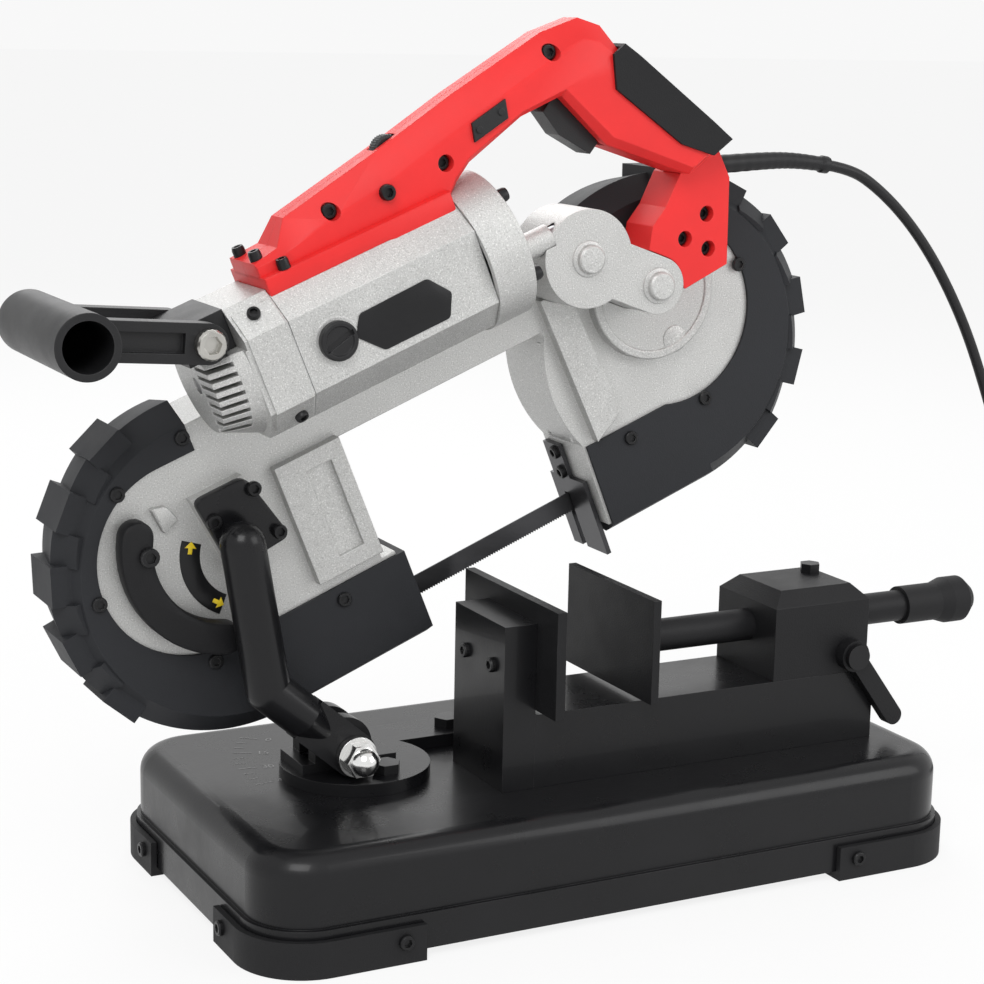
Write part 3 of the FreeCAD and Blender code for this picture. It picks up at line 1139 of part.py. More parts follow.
WORM_WHEEL_NEAR = "motor_y - worm_wheel / 2"
worm_wheel = cylinder("worm_wheel_disc", (FIRST[0], WORM_WHEEL_NEAR, FIRST[1]),
                      f"{WORM_W} - {FIRST[1]} - worm_radius - part_gap", "worm_wheel", "y")
first_rod = cylinder("first_rod", (FIRST[0], WORM_WHEEL_NEAR, FIRST[1]), "cross_radius",
                     f"face_thick + gear_width + 4 - ({WORM_WHEEL_NEAR})", "y")
node("first_shaft", fuse("first_shaft_solid", worm_wheel, first_rod), first_pinion)

# Motor: barrel, vent cap, gear head, stator, armature and brushes

MOTOR_AT = ("motor_y", "motor_w")


def along_motor(name, start, radius, end, across="motor_w"):
    """Round piece along the motor axis, or along the worm shaft below it."""
    return cylinder(name, (start, "motor_y", across), radius, f"{end} - ({start})", "x")


def head_gear(name, teeth, across, turn):
    """Spur gear of the pair in the gear head, turned onto the motor's direction."""
    start = d.motor_right + d.end_wall
    gear = spur_gear(d.head_module, teeth, 1, start, d.gear_width, Vector(), turn)
    gear.Placement = Placement(Vector(0, d.motor_y, across), Rotation(Vector(0, 0, 1), -90))
    return shaped(name, gear)


barrel = barrel_block("barrel", "motor_left", "motor_right", "0")
barrel_bore = along_motor("barrel_bore", "motor_left - 1", "motor_radius - motor_wall",
                          "motor_right - end_wall")
shaft_bearing = along_motor("shaft_bearing", "cap_left - 1", "shaft_radius + run_fit", "motor_right + 1")
BRUSH_W = "motor_w"
BRUSH_SIDES = {"near": "-y", "far": "y"}
brush_bores = [cylinder(f"brush_bore_{side}", ("brush_u", "motor_y", BRUSH_W), "brush_radius * 0.7 + run_fit",
                        "motor_radius + 9", way)
               for side, way in BRUSH_SIDES.items()]
brush_bosses = [cylinder(f"brush_boss_{side}", ("brush_u", "motor_y", BRUSH_W), "brush_radius + 2",
                         "motor_radius + part_gap",
                         way)
                for side, way in BRUSH_SIDES.items()]
node("motor_housing", cut("housing", fuse("housing_solid", barrel, *brush_bosses), barrel_bore, shaft_bearing,
                          *brush_bores))

cap_body = barrel_block("cap_body", "cap_left + 21", "motor_left - part_gap", "0")
cap_taper = cone("cap_taper", ("cap_left", *MOTOR_AT), "cap_nose", "motor_radius", "21", "x")
cap_hollow = along_motor("cap_hollow", "cap_left + 24", "motor_radius - motor_wall", "motor_left")
cap_throat = along_motor("cap_throat", "cap_left + end_wall", "cap_nose - motor_wall", "motor_left")
SLOT_ROWS = 10
vent_slots = [box(f"vent_slot_{column}_{row}",
                  (f"cap_left + 26 + {column} * (slot_length - 10)" if column else "cap_left - 1",
                   "motor_y - motor_radius - 1",
                   f"motor_w - slot_step * {SLOT_ROWS / 2 - row:.1f}"),
                  ("slot_length", "motor_radius - 6", "slot_height"))
              for column in (0, 1) for row in range(SLOT_ROWS)]
bracket_room = box("bracket_room",
                   ("cap_left - 1", "motor_y - motor_radius - 1", "handle_bolt_w - 11 - part_gap"),
                   ("handle_bolt_u + 18 + part_gap - cap_left", "2 * motor_radius + 2", "2 * motor_radius"))
node("vent_cap", cut("cap", fuse("cap_solid", cap_body, cap_taper), cap_hollow, cap_throat, shaft_bearing,
                     bracket_room,
                     *vent_slots))

head_block = along_motor("head_block", "motor_right + part_gap", "head_radius", "head_right")
head_hollow = along_motor("head_hollow", "motor_right", "head_radius - motor_wall", "head_right - end_wall")
NECK_END = "worm_u - 17.5"
head_neck = along_motor("head_neck", "head_right - 1", "shaft_radius + 3", NECK_END, WORM_W)
worm_bearing = along_motor("worm_bearing", "head_right - end_wall - 1", "shaft_radius + run_fit", "worm_u",
                           WORM_W)
node("gear_head", cut("head", fuse("head_solid", head_block, head_neck), head_hollow, worm_bearing))

STATOR_OUTER = "motor_radius - motor_wall - part_gap"
stator_block = along_motor("stator_block", "core_left", STATOR_OUTER, "core_left + core_length")
stator_bore = along_motor("stator_bore", "core_left - 1", "stator_inner", "core_left + core_length + 1")
node("stator", cut("stator_ring", stator_block, stator_bore))
worm_turn = 0.0
armature_turn = meshing_turn(270, d.armature_teeth, d.worm_teeth, worm_turn)
worm_height = d.motor_w - d.head_module * (d.armature_teeth + d.worm_teeth) / 2
GEAR_END = "motor_right + end_wall + gear_width"
armature_parts = [along_motor("motor_shaft", "cap_left + 1", "shaft_radius", "motor_right + 1"),
                  along_motor("pinion_stub", "motor_right", "head_module * 3", GEAR_END),
                  head_gear("armature_pinion", d.armature_teeth, d.motor_w, armature_turn),
                  along_motor("armature_core", "core_left", "stator_inner - 2 * part_gap",
                              "core_left + core_length"),
                  along_motor("commutator", "core_left - 22", "stator_inner - 6", "core_left - 4"),
                  along_motor("fan", "core_left + core_length + 3", "motor_radius - motor_wall - 2",
                              "core_left + core_length + 9")]
node("armature", fuse("armature_solid", *armature_parts))
worm_parts = [head_gear("worm_shaft_gear", d.worm_teeth, worm_height, worm_turn),
              along_motor("worm_rod", "motor_right + end_wall", "shaft_radius", "worm_u - worm_length / 2",
                          WORM_W),
              along_motor("worm", "worm_u - worm_length / 2 - 1", "worm_radius", "worm_u + worm_length / 2",
                          WORM_W)]
node("worm_shaft", fuse("worm_shaft_solid", *worm_parts))

caps = []
brushes = []
for side, way in BRUSH_SIDES.items():
    sign = "-" if way == "-y" else "+"
    seat = f"motor_y {sign} (motor_radius + part_gap)"
    cap = cylinder(f"brush_cap_{side}", ("brush_u", seat, BRUSH_W), "brush_radius", "5", way)
    plug_part = cylinder(f"brush_plug_{side}", ("brush_u", seat, BRUSH_W), "brush_radius * 0.7", "4",
                         OPPOSITE[way])
    slot_near = f"{seat} + 3.5" if sign == "+" else f"{seat} - 5"
    slot_part = box(f"brush_cap_slot_{side}", ("brush_u - brush_radius", slot_near, f"{BRUSH_W} - 1"),
                    ("2 * brush_radius", "1.5", "2"))
    caps.append(cut(f"brush_cap_slotted_{side}", fuse(f"brush_cap_solid_{side}", cap, plug_part), slot_part))
    inner_end = "(stator_inner - 6 + part_gap)"
    outer_end = "(motor_radius + part_gap - 4)"
    start = f"motor_y - {outer_end}" if sign == "-" else f"motor_y + {inner_end}"
    brushes.append(box(f"brush_{side}", ("brush_u - 5", start, f"{BRUSH_W} - 4"),
                       ("10", f"{outer_end} - {inner_end}", "8")))
node("brush_caps", *caps)
node("carbon_brushes", *brushes)

cover_shell = cover_block("cover_shell", "0", "-cover_rise", "cover_rise")
cover_hollow = cover_block("cover_hollow", "-cover_wall", "-cover_rise + cover_wall",
                           "cover_rise - 2 * cover_wall")
bosses = [cylinder(f"cover_boss_{i}", (u, "-cover_rise", w), "boss_radius", "boss_rise", "-y")
          for i, (u, w) in enumerate((FIRST, SECOND))]
cover_tab = cylinder("cover_tab", (f"{FIRST[0]} - lobe_large - 2", "0", f"{FIRST[1]} - boss_radius"),
                     "boss_radius",
                     "bar_rise", "-y")
shaft_entry = along_motor("shaft_entry", f"{NECK_END} - 1", "shaft_radius + 1", "worm_u + 3", WORM_W)
first_entry = cylinder("first_entry", (FIRST[0], "-cover_wall - 1", FIRST[1]), "cross_radius + run_fit",
                       "cover_wall + 2", "y")
second_entry = cylinder("second_entry", (SECOND[0], "-disc_rise - 1", SECOND[1]), "cross_radius + run_fit",
                        "disc_rise + 2", "y")
neck_relief = along_motor("neck_relief", "head_right", "shaft_radius + 3 + part_gap",
                          f"{NECK_END} + part_gap", WORM_W)
node("gear_cover", cut("cover", fuse("cover_solid", cover_shell, cover_tab, *bosses), cover_hollow,
                       shaft_entry, first_entry,
                       second_entry, neck_relief))

# Rear handle: two shells split along the motor axis, soft grip, trigger and dial

SHELL = ([("motor_left", "foot_low"), HANDLE_AT]
         + offset_from(*HANDLE_AT, [(17, 2), (28, 14), (93, 26), (145, 37), (210, 48), (235, 47), (246, 38),
                                    (250, 22),
                                    (257, 13), (290, -40), (299, -55), (270, -63), (224, -25), (206, 12),
                                    (178, 11),
                                    (139, 0), (128, -7)])
         + [("motor_right - part_gap", "foot_low + 5"), ("motor_right - part_gap", "foot_low")])
CAVITY = offset_from(*HANDLE_AT,
                     [(20, -12), (34, 6), (96, 18), (210, 40), (233, 40), (242, 22), (249, 10), (281, -38),
                                  (289, -52), (272, -57), (230, -22), (212, 17), (177, 17), (137, 6),
                      (122, -4),
                                  (112, -12)])
SHELL_SCREWS = offset_from(*HANDLE_AT, [(52, 8), (124, 6), (208, 37)])
SUNK = "motor_y - handle_half + bore_depth"
shell_screws, shell_screw_holes = front_screws("shell_screw", SHELL_SCREWS, SUNK,
                                               length="2 * handle_half - 2 * bore_depth")


def sunk_bores(name, places, near):
    """Wide bores that sink screw heads below a near face."""
    return [cylinder(f"{name}_{i}", (u, f"{near} - 1", w), "bore_radius", "bore_depth + 1", "y")
            for i, (u, w) in enumerate(places)]


saddle = barrel_block("saddle", "motor_left - part_gap", "motor_right", "part_gap")
shell_bores = sunk_bores("shell_bore", SHELL_SCREWS, "motor_y - handle_half")
TRIGGER_AT = ("trigger_u", "trigger_w")
trigger_slot = plate("trigger_slot", offset_from(*TRIGGER_AT, [(-14, -13), (-7, 10), (11, 10), (28, -40),
                                                               (8, -50), (-9, -29)]),
                     "motor_y + trigger_half + part_gap", "2 * (trigger_half + part_gap)")
dial_slot = cylinder("dial_slot", ("dial_u", "motor_y - dial_half - part_gap", "dial_w"),
                     "dial_radius + 2 * part_gap",
                     "2 * (dial_half + part_gap)", "y")
PIN_HALF = "(handle_half - handle_wall / 2)"
pin_seats = [cylinder(f"{name}_seat", (u, f"motor_y - {PIN_HALF} - part_gap", w), "trigger_pin + run_fit",
                      f"2 * ({PIN_HALF} + part_gap)", "y")
             for name, (u, w) in (("trigger", TRIGGER_AT), ("dial", ("dial_u", "dial_w")))]


def handle_shell(side, back, foot_near):
    """One half of the handle: walls, screw bosses, foot on the motor."""
    name = f"{side}_shell"
    wall = plate(f"{name}_wall", SHELL, back, "handle_half")
    foot_block = box(f"{name}_foot", ("motor_left", foot_near, "foot_low"),
                     ("motor_right - part_gap - motor_left", "foot_half", "(foot_high - foot_low) * 0.6"))
    inner_back = back if side == "near" else "motor_y + handle_half - handle_wall"
    cavity = plate(f"{name}_cavity", CAVITY, inner_back, "handle_half - handle_wall")
    bosses = [cylinder(f"{name}_boss_{i}", (u, "motor_y", w), "bore_radius + handle_wall",
                       "handle_half - handle_wall / 2",
                       "-y" if side == "near" else "y") for i, (u, w) in enumerate(SHELL_SCREWS)]
    walled = cut(f"{name}_walled", fuse(f"{name}_outside", wall, foot_block), cavity)
    return cut(name, fuse(f"{name}_bossed", walled, *bosses), trigger_slot, dial_slot, *pin_seats,
               *shell_screw_holes,
               *shell_bores, saddle, head_seat)


node("handle_near_shell", handle_shell("near", "motor_y", "motor_y - foot_half"))
node("handle_far_shell", handle_shell("far", "motor_y + handle_half", "motor_y"))

BRACKET_CORNERS = offset_from(*HANDLE_AT, [(270, -63.4), (299, -55.4), (301, -79), (282, -127), (250, -129),
                                           (245, -116), (231, -104), (242, -85), (254, -78)])
bracket_relief = cover_block("bracket_relief", "2 * part_gap", "-cover_rise - boss_rise",
                             "cover_rise + boss_rise")
rear_bracket = node("rear_bracket", cut("rear_bracket_cut", plate("rear_bracket_plate", BRACKET_CORNERS,
                                                                  "bracket_back", "bracket_thick"),
                                        bracket_relief, *bracket_holes,
                                        *sunk_bores("bracket_bore", BRACKET_SCREWS, BRACKET_NEAR)))

grip_block = plate("grip_block",
                   offset_from(*HANDLE_AT, [(252, 25), (259, 15), (292.5, -39), (301, -53.5), (286, -57.5),
                                                           (268, -43), (238, 3), (243, 22)]),
                   "motor_y + handle_half + rubber_thick", "2 * (handle_half + rubber_thick)")
node("grip_rubber", cut("grip_saddle", grip_block,
                        plate("grip_seat_block", SHELL, "motor_y + handle_half", "2 * handle_half")))

trigger_blade = plate("trigger_blade", offset_from(*TRIGGER_AT, [(-4, -6), (-12, -11), (-7, -27), (8, -45),
                                                                 (15, -41), (9, -18),
                                                                  (7, 2), (2, 6), (-4, 3)]),
                      "motor_y + trigger_half", "2 * trigger_half")


def cross_pin(name, u, w):
    return cylinder(name, (u, f"motor_y - {PIN_HALF}", w), "trigger_pin", f"2 * {PIN_HALF}", "y")


node("trigger", fuse("trigger_solid", trigger_blade, cross_pin("trigger_pin_rod", *TRIGGER_AT)))
dial_disc = cylinder("dial_disc", ("dial_u", "motor_y - dial_half", "dial_w"), "dial_radius",
                     "2 * dial_half", "y")
node("speed_dial", fuse("dial_solid", dial_disc, cross_pin("dial_pin_rod", "dial_u", "dial_w")))

INSERT_NEAR = "motor_y - handle_half"
insert_plate = plate("insert_plate", offset_from(*HANDLE_AT, [(144, 10), (168, 14.5), (170, 25),
                                                              (146, 20.5)]), INSERT_NEAR, "1.6")
rivets = [cylinder(f"rivet_{i}", (u, f"{INSERT_NEAR} - 1.6", w), "2", "0.8", "-y")
          for i, (u, w) in enumerate(offset_from(*HANDLE_AT, [(149, 15.5), (165, 19.5)]))]
node("side_insert", fuse("insert_solid", insert_plate, *rivets))

# Front handle on its bracket over the vent cap

handle_bolt_bore = cylinder("handle_bolt_bore", ("handle_bolt_u", "arm_near - 9", "handle_bolt_w"),
                            "handle_bolt_radius + run_fit",
                            "-arm_near + 40", "y")
bracket_block = box("handle_bracket_block",
                    ("handle_bolt_u - 11", "arm_near + arm_thick + part_gap", "handle_bolt_w - 11"),
                    ("28", "arm_far - arm_near - arm_thick - 2 * part_gap", "22"))
node("handle_bracket", cut("handle_bracket_cut", bracket_block, handle_bolt_bore))
node("handle_bolt", screw("handle_bolt_solid", ("handle_bolt_u", "arm_near - part_gap", "handle_bolt_w"),
                          "-y",
                          head="handle_bolt_radius * 1.7", shank="handle_bolt_radius",
                          length="-arm_near + arm_far + arm_thick + 4"))

arm_reach = math.hypot(d.grip_tube_u - d.handle_bolt_u, d.grip_tube_w - d.handle_bolt_w)
arm_angle = math.degrees(math.atan2(d.grip_tube_w - d.handle_bolt_w, d.grip_tube_u - d.handle_bolt_u))
arm_turn = Rotation(Vector(0, -1, 0), arm_angle)


def turned_box(name, corner, extent):
    """Box along the front handle arm, its corner measured from the bolt along, across and up the arm."""
    obj = doc.addObject("Part::Box", name)
    obj.Placement = Placement(Vector(d.handle_bolt_u, 0,
                                     d.handle_bolt_w) + arm_turn.multVec(Vector(*corner)), arm_turn)
    obj.Length, obj.Width, obj.Height = extent
    return obj


def handle_arm(name, near):
    """One arm: flanged bar from the bolt eye to the grip tube."""
    bar = turned_box(f"{name}_bar", (0, near, -d.arm_height / 2), (arm_reach, d.arm_thick, d.arm_height))
    pocket = turned_box(f"{name}_pocket", (d.arm_height * 0.6, near - 1, -d.arm_height / 4),
                        (arm_reach - d.arm_height * 0.6 - d.grip_tube_radius, d.arm_thick / 3 + 1,
                         d.arm_height / 2))
    eye_part = cylinder(f"{name}_eye", ("handle_bolt_u", str(near), "handle_bolt_w"), "arm_height / 2",
                        "arm_thick", "y")
    return cut(f"{name}_cut", fuse(f"{name}_solid", bar, eye_part), pocket)


grip_tube = cylinder("grip_tube", ("grip_tube_u", "grip_tube_near", "grip_tube_w"), "grip_tube_radius",
                     "grip_tube_far - grip_tube_near", "y")
tube_hollow = cylinder("tube_hollow", ("grip_tube_u", "grip_tube_near - 1", "grip_tube_w"),
                       "grip_tube_radius - grip_tube_wall",
                       "grip_tube_far - grip_tube_near - 8", "y")
node("front_handle", cut("front_handle_cut",
                         fuse("front_handle_solid", grip_tube, handle_arm("near_arm", d.arm_near),
                                                  handle_arm("far_arm", d.arm_far)), tube_hollow,
                         handle_bolt_bore))

# Tension lever on the idler side

def lever_shape():
    """Curved lever: a stretch of a ring with round ends."""
    middle = Vector(d.lever_bend_u, d.lever_near + d.lever_rise, d.lever_bend_w)
    start, end = math.radians(152), math.radians(243)

    def spot(radius, turn):
        return middle + Vector(radius * math.cos(turn), 0, radius * math.sin(turn))

    halfway = (start + end) / 2
    mean = (d.lever_inner + d.lever_outer) / 2
    bulge = (d.lever_outer - d.lever_inner) / 2 / mean
    edges = [Part.Arc(spot(d.lever_outer, start), spot(d.lever_outer, halfway), spot(d.lever_outer, end)),
             Part.Arc(spot(d.lever_outer, end), spot(mean, end + bulge), spot(d.lever_inner, end)),
             Part.Arc(spot(d.lever_inner, end), spot(d.lever_inner, halfway), spot(d.lever_inner, start)),
             Part.Arc(spot(d.lever_inner, start), spot(mean, start - bulge), spot(d.lever_outer, start))]
    face = Part.Face(Part.Wire([edge.toShape() for edge in edges]))
    return face.extrude(Vector(0, -d.lever_rise, 0))


lever_bore_front = cylinder("tension_bore", ("lever_pivot_u", "lever_near - 1", "lever_pivot_w"),
                            "screw_shank * 1.6 + run_fit",
                            "-lever_near + 2", "y")
lever_boss = cylinder("lever_boss", ("lever_pivot_u", "lever_near", "lever_pivot_w"),
                      "screw_shank * 1.6 + 4.5",
                      "-lever_near - part_gap", "y")
node("tension_lever", cut("tension_lever_cut",
                          fuse("tension_lever_solid", shaped("lever_arc", lever_shape()), lever_boss),
                          lever_bore_front))
lever_bolt = screw("lever_bolt", LEVER_BOLT_AT, "-y", head="screw_head * 1.3", **LEVER_BOLT)
node("saw_screws", *arm_screws, *lip_screws, *stop_screws, *shell_screws, *bracket_screws, lever_bolt)

# Mains cord: sleeve at the saw, hanging run, put-away coil with a tie, plug

TURNS_IN = 3
TURNS_OUT = 2.5


def rounded_path(points):
    """Straight runs joined by tangent arcs: the wire and the bend radii."""
    edges = []
    radii = []
    start = points[0]
    for before, corner, after in zip(points, points[1:], points[2:]):
        reach = 0.45 * min((corner - before).Length, (after - corner).Length)
        inward = (corner - before).normalize()
        outward = (after - corner).normalize()
        half_turn = inward.getAngle(outward) / 2
        radius = reach / math.tan(half_turn)
        towards_middle = (outward - inward).normalize()
        arc_middle = corner + towards_middle * (radius / math.cos(half_turn) - radius)
        arc_end = corner + outward * reach
        edges.append(Part.LineSegment(start, corner - inward * reach).toShape())
        edges.append(Part.Arc(corner - inward * reach, arc_middle, arc_end).toShape())
        radii.append(radius)
        start = arc_end
    edges.append(Part.LineSegment(start, points[-1]).toShape())
    return Part.Wire(edges), radii


def tube(wire, radius):
    """Round tube along a wire."""
    first = wire.OrderedEdges[0]
    start = first.FirstParameter
    ring = Part.Wire([Part.makeCircle(radius, first.valueAt(start), first.tangentAt(start))])
    solid = wire.makePipeShell([ring], True, False)
    expected = math.pi * radius ** 2 * wire.Length
    print(f"tube {wire.Length:.1f} long, volume {solid.Volume / expected:.4f} of section times length")
    return solid


def arc_edge(start, tangent, end):
    """Arc that leaves a point along a tangent and ends at another point."""
    chord = end - start
    half = tangent.getAngle(chord)
    across = (tangent - chord * (tangent.dot(chord) / chord.dot(chord))).normalize()
    return Part.Arc(start, start + chord * 0.5 + across * (chord.Length / 2 * math.tan(half / 2)),
                    end).toShape()


def biarc(start, start_tangent, end, end_tangent):
    """Two arcs that join tangentially between two points with given tangents."""
    chord = end - start
    both = start_tangent + end_tangent
    spread = 2 * (1 - start_tangent.dot(end_tangent))
    along = chord.dot(both)
    reach = (-along + math.sqrt(along ** 2 + spread * chord.dot(chord))) / spread
    joint = (start + end + (start_tangent - end_tangent) * reach) * 0.5
    second = arc_edge(end, end_tangent * -1, joint)
    middle = second.valueAt((second.FirstParameter + second.LastParameter) / 2)
    return [arc_edge(start, start_tangent, joint), Part.Arc(joint, middle, end).toShape()]


def coil_stations():
    """Points and tangents every quarter turn: spiral in, climb one layer in half a turn, spiral out."""
    step = d.coil_step
    slope = step / (2 * math.pi)
    inner = d.coil_radius - TURNS_IN / 2 * step
    low = d.coil_lift + d.cord_radius
    stations = []
    for quarter in range(int(4 * (TURNS_IN + 0.5 + TURNS_OUT)) + 1):
        past = quarter / 4 - TURNS_IN
        if past <= 0:
            radius, growth, height, climb = inner - past * step, -slope, low, 0
        elif past == 0.25:
            radius, growth, height, climb = inner - past * step, 0, low + step / 2, step / 2
        else:
            radius, growth, height, climb = inner + (past - 0.5) * step, slope, low + step, 0
        angle = math.pi / 2 * (quarter - 1)
        out = Vector(math.cos(angle), math.sin(angle), 0)
        turn = Vector(-math.sin(angle), math.cos(angle), 0)
        point = Vector(d.coil_x, d.coil_y, height) + out * radius
        stations.append((point, (turn * radius + out * growth + Vector(0, 0, climb)).normalize()))
    return stations


def least_gap(wire, radius):
    """Smallest gap between turns, measured on points along the wire."""
    points = wire.discretize(Number=700)
    apart = int(4 * math.pi * radius / (wire.Length / 699)) + 1
    nearest = min((p - q).Length for i, p in enumerate(points) for q in points[i + apart:])
    return nearest - 2 * radius


stations = coil_stations()
straight = 2 * d.cord_radius
coil_start = stations[0][0] - stations[0][1] * straight
coil_end = stations[-1][0] + stations[-1][1] * d.coil_tail
coil_edges = [Part.LineSegment(coil_start, stations[0][0]).toShape()]
for (point, tangent), (next_point, next_tangent) in zip(stations, stations[1:]):
    coil_edges += biarc(point, tangent, next_point, next_tangent)
coil_edges.append(Part.LineSegment(stations[-1][0], coil_end).toShape())
coil_wire = Part.Wire(coil_edges)
print(f"coil: least gap between turns {least_gap(coil_wire, d.cord_radius):.2f}")

CORD_Y = d.saw_y - 30
SLEEVE = [Vector(x, CORD_Y, z) for x, z in ((90, 425.6), (126, 428), (155, 428), (175.7, 424.8))]
sleeve_wire, sleeve_radii = rounded_path(SLEEVE)
sleeve = shaped("sleeve_tube", tube(sleeve_wire, d.sleeve_radius))
node("cord_sleeve", cut("sleeve", sleeve, rear_bracket), hung=False)

sleeve_way = (SLEEVE[-1] - SLEEVE[-2]).normalize()
FALL = [(214, 0, 411), (236, 0, 393.5), (257, 0, 371), (276, 0, 345), (294, 0, 315), (310, 0, 281),
        (325, 0, 245),
        (338, 0, 207), (349, 0, 168), (355.5, -0.5, 128), (359, -3, 90), (362, -8, 57), (368, -16, 31),
        (379, -26, 14.5), (394.5, -34.5, 6.6)]
cord_route = ([SLEEVE[-1], SLEEVE[-1] + sleeve_way * 19] + [Vector(x, CORD_Y + y, z) for x, y, z in FALL]
              + [coil_start - stations[0][1] * 17, coil_start])
cord_wire, cord_radii = rounded_path(cord_route)
print("cord bend radii", " ".join(f"{radius:.0f}" for radius in cord_radii))
print(f"cord and coil {cord_wire.Length + coil_wire.Length:.0f} long")
node("cord", shaped("cord_tube", tube(cord_wire, d.cord_radius)), hung=False)
node("cord_coil", shaped("coil_tube", tube(coil_wire, d.cord_radius)), hung=False)

TIE_INNER = f"(coil_radius - {TURNS_IN / 2 + 0.25} * coil_step - cord_radius - 2 * part_gap)"
TIE_OUTER = f"(coil_radius + {TURNS_IN / 2} * coil_step + cord_radius + 2 * part_gap)"
TIE_TOP = "(coil_lift + coil_step + 2 * cord_radius + part_gap)"
tie_band = box("tie_band", (f"coil_x + {TIE_INNER} - tie_thick", "coil_y - tie_width / 2",
                            "coil_lift - part_gap - tie_thick"),
               (f"{TIE_OUTER} - {TIE_INNER} + 2 * tie_thick", "tie_width",
                f"{TIE_TOP} - coil_lift + part_gap + 2 * tie_thick"))
tie_inside = box("tie_inside", (f"coil_x + {TIE_INNER}", "coil_y - tie_width", "coil_lift - part_gap"),
                 (f"{TIE_OUTER} - {TIE_INNER}", "2 * tie_width", f"{TIE_TOP} - coil_lift + part_gap"))
node("cord_tie", cut("tie", tie_band, tie_inside), hung=False)

plug_parts = [cone("plug_relief", ("0", "0", "0"), "cord_radius + 1", "cord_radius + 3", "18", "x"),
              cone("plug_shoulder", ("18", "0", "0"), "plug_radius * 0.75", "plug_radius", "12", "x"),
              cylinder("plug_body", ("30", "0", "0"), "plug_radius", "16", "x")]
plug_parts += [box(f"plug_blade_{side}", ("46", f"{side} * plug_radius / 2 - 0.75", "-3.2"),
                   ("17", "1.5", "6.4"))
               for side in (-1, 1)]
plug = node("plug", fuse("plug_solid", *plug_parts), hung=False)
plug.Placement = Placement(coil_end, Rotation(Vector(1, 0, 0), stations[-1][1]))

# Check every object, then write one file for each sub-part

doc.recompute()
bad = [obj.Name for obj in doc.Objects if "Invalid" in obj.State or "Error" in obj.State]
bad += [part.Label for part in nodes
        if part.Shape.isNull() or not part.Shape.isValid() or not part.Shape.Solids]
if bad:
    raise RuntimeError("not sound: " + ", ".join(bad))
os.makedirs("parts", exist_ok=True)
for part in nodes:
    part.Shape.exportStep(f"parts/{part.Label}.step")
print(len(nodes), "sub-parts written")
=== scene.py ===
import json
import math

import bmesh
import bpy
from mathutils import Matrix, Vector


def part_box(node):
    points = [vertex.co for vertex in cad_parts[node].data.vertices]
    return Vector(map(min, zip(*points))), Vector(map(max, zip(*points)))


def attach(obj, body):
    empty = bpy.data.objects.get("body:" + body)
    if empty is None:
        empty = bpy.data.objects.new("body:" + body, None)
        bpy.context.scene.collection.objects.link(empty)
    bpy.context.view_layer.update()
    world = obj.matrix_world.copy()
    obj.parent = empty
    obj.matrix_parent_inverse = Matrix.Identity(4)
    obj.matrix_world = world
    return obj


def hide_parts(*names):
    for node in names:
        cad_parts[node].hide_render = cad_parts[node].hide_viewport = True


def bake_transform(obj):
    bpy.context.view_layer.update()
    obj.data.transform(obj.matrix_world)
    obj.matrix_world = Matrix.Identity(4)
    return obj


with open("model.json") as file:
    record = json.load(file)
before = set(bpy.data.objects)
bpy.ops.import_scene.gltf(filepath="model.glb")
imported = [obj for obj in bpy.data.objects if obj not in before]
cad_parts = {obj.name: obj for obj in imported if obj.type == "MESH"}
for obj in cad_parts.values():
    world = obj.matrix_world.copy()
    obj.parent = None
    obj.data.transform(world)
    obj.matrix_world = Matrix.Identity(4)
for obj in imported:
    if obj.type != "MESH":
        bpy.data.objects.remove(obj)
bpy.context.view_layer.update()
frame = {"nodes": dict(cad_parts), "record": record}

# Places: the stand in millimetres, and the saw's own millimetres as it hangs on the hinge
MM = 0.001
METRES = Matrix.Identity(4)
STAND = Matrix.Scale(MM, 4)
TILT = math.radians(22.34)
HINGE_ON_STAND = Vector((-0.1405, 0.004, 0.089))
HINGE_ON_SAW = Vector((0.034, 0.0, -0.142))
SAW = (Matrix.Translation(HINGE_ON_STAND) @ Matrix.Rotation(-TILT, 4, "Y")
       @ Matrix.Translation(-HINGE_ON_SAW) @ STAND)
NEAR, ACROSS = (0, -1, 0), (0, 1, 0)
LEFT, RIGHT = (-1, 0, 0), (1, 0, 0)
UP = (0, 0, 1)

# Materials
CLOUDS = {"Scale": 24.0, "Detail": 6.0, "Roughness": 0.62}
CLOUD_SPAN = (0.3, 0.7)
PALE_FLECKS, DARK_FLECKS = (0.56, 0.74), (0.44, 0.28)
WORN_EDGE, WORN_CLOUDS = (0.985, 0.86), (0.42, 0.62)
ROUGH_SWING = 0.07
BUMP_DEPTH = 0.0004
WAVES_PER_THREAD = 6.3 / math.tau


def add(tree, kind, inputs, **settings):
    """One shader node; an input is a plain value or another node's output."""
    made = tree.nodes.new("ShaderNode" + kind)
    for key, value in settings.items():
        setattr(made, key, value)
    for key, value in inputs.items():
        if isinstance(value, bpy.types.NodeSocket):
            tree.links.new(value, made.inputs[key])
        else:
            made.inputs[key].default_value = value
    return made


def ramp(tree, value, low, high, start=0.0, end=1.0):
    """Value carried from one range to another."""
    inputs = {"Value": value, "From Min": low, "From Max": high, "To Min": start, "To Max": end}
    return add(tree, "MapRange", inputs).outputs["Result"]


def mixed(tree, share, first, second):
    """Colour between two colours; each is a plain colour or a node's output."""
    return add(tree, "Mix", {0: share, 6: first, 7: second}, data_type="RGBA").outputs[2]


def shade(colour, amount):
    """Colour made darker or paler."""
    return (*(min(1.0, channel * amount) for channel in colour), 1.0)


def blank(name):
    """New material with its node tree and its shader."""
    look = bpy.data.materials.new(name)
    look.use_nodes = True
    return look, look.node_tree, look.node_tree.nodes["Principled BSDF"]


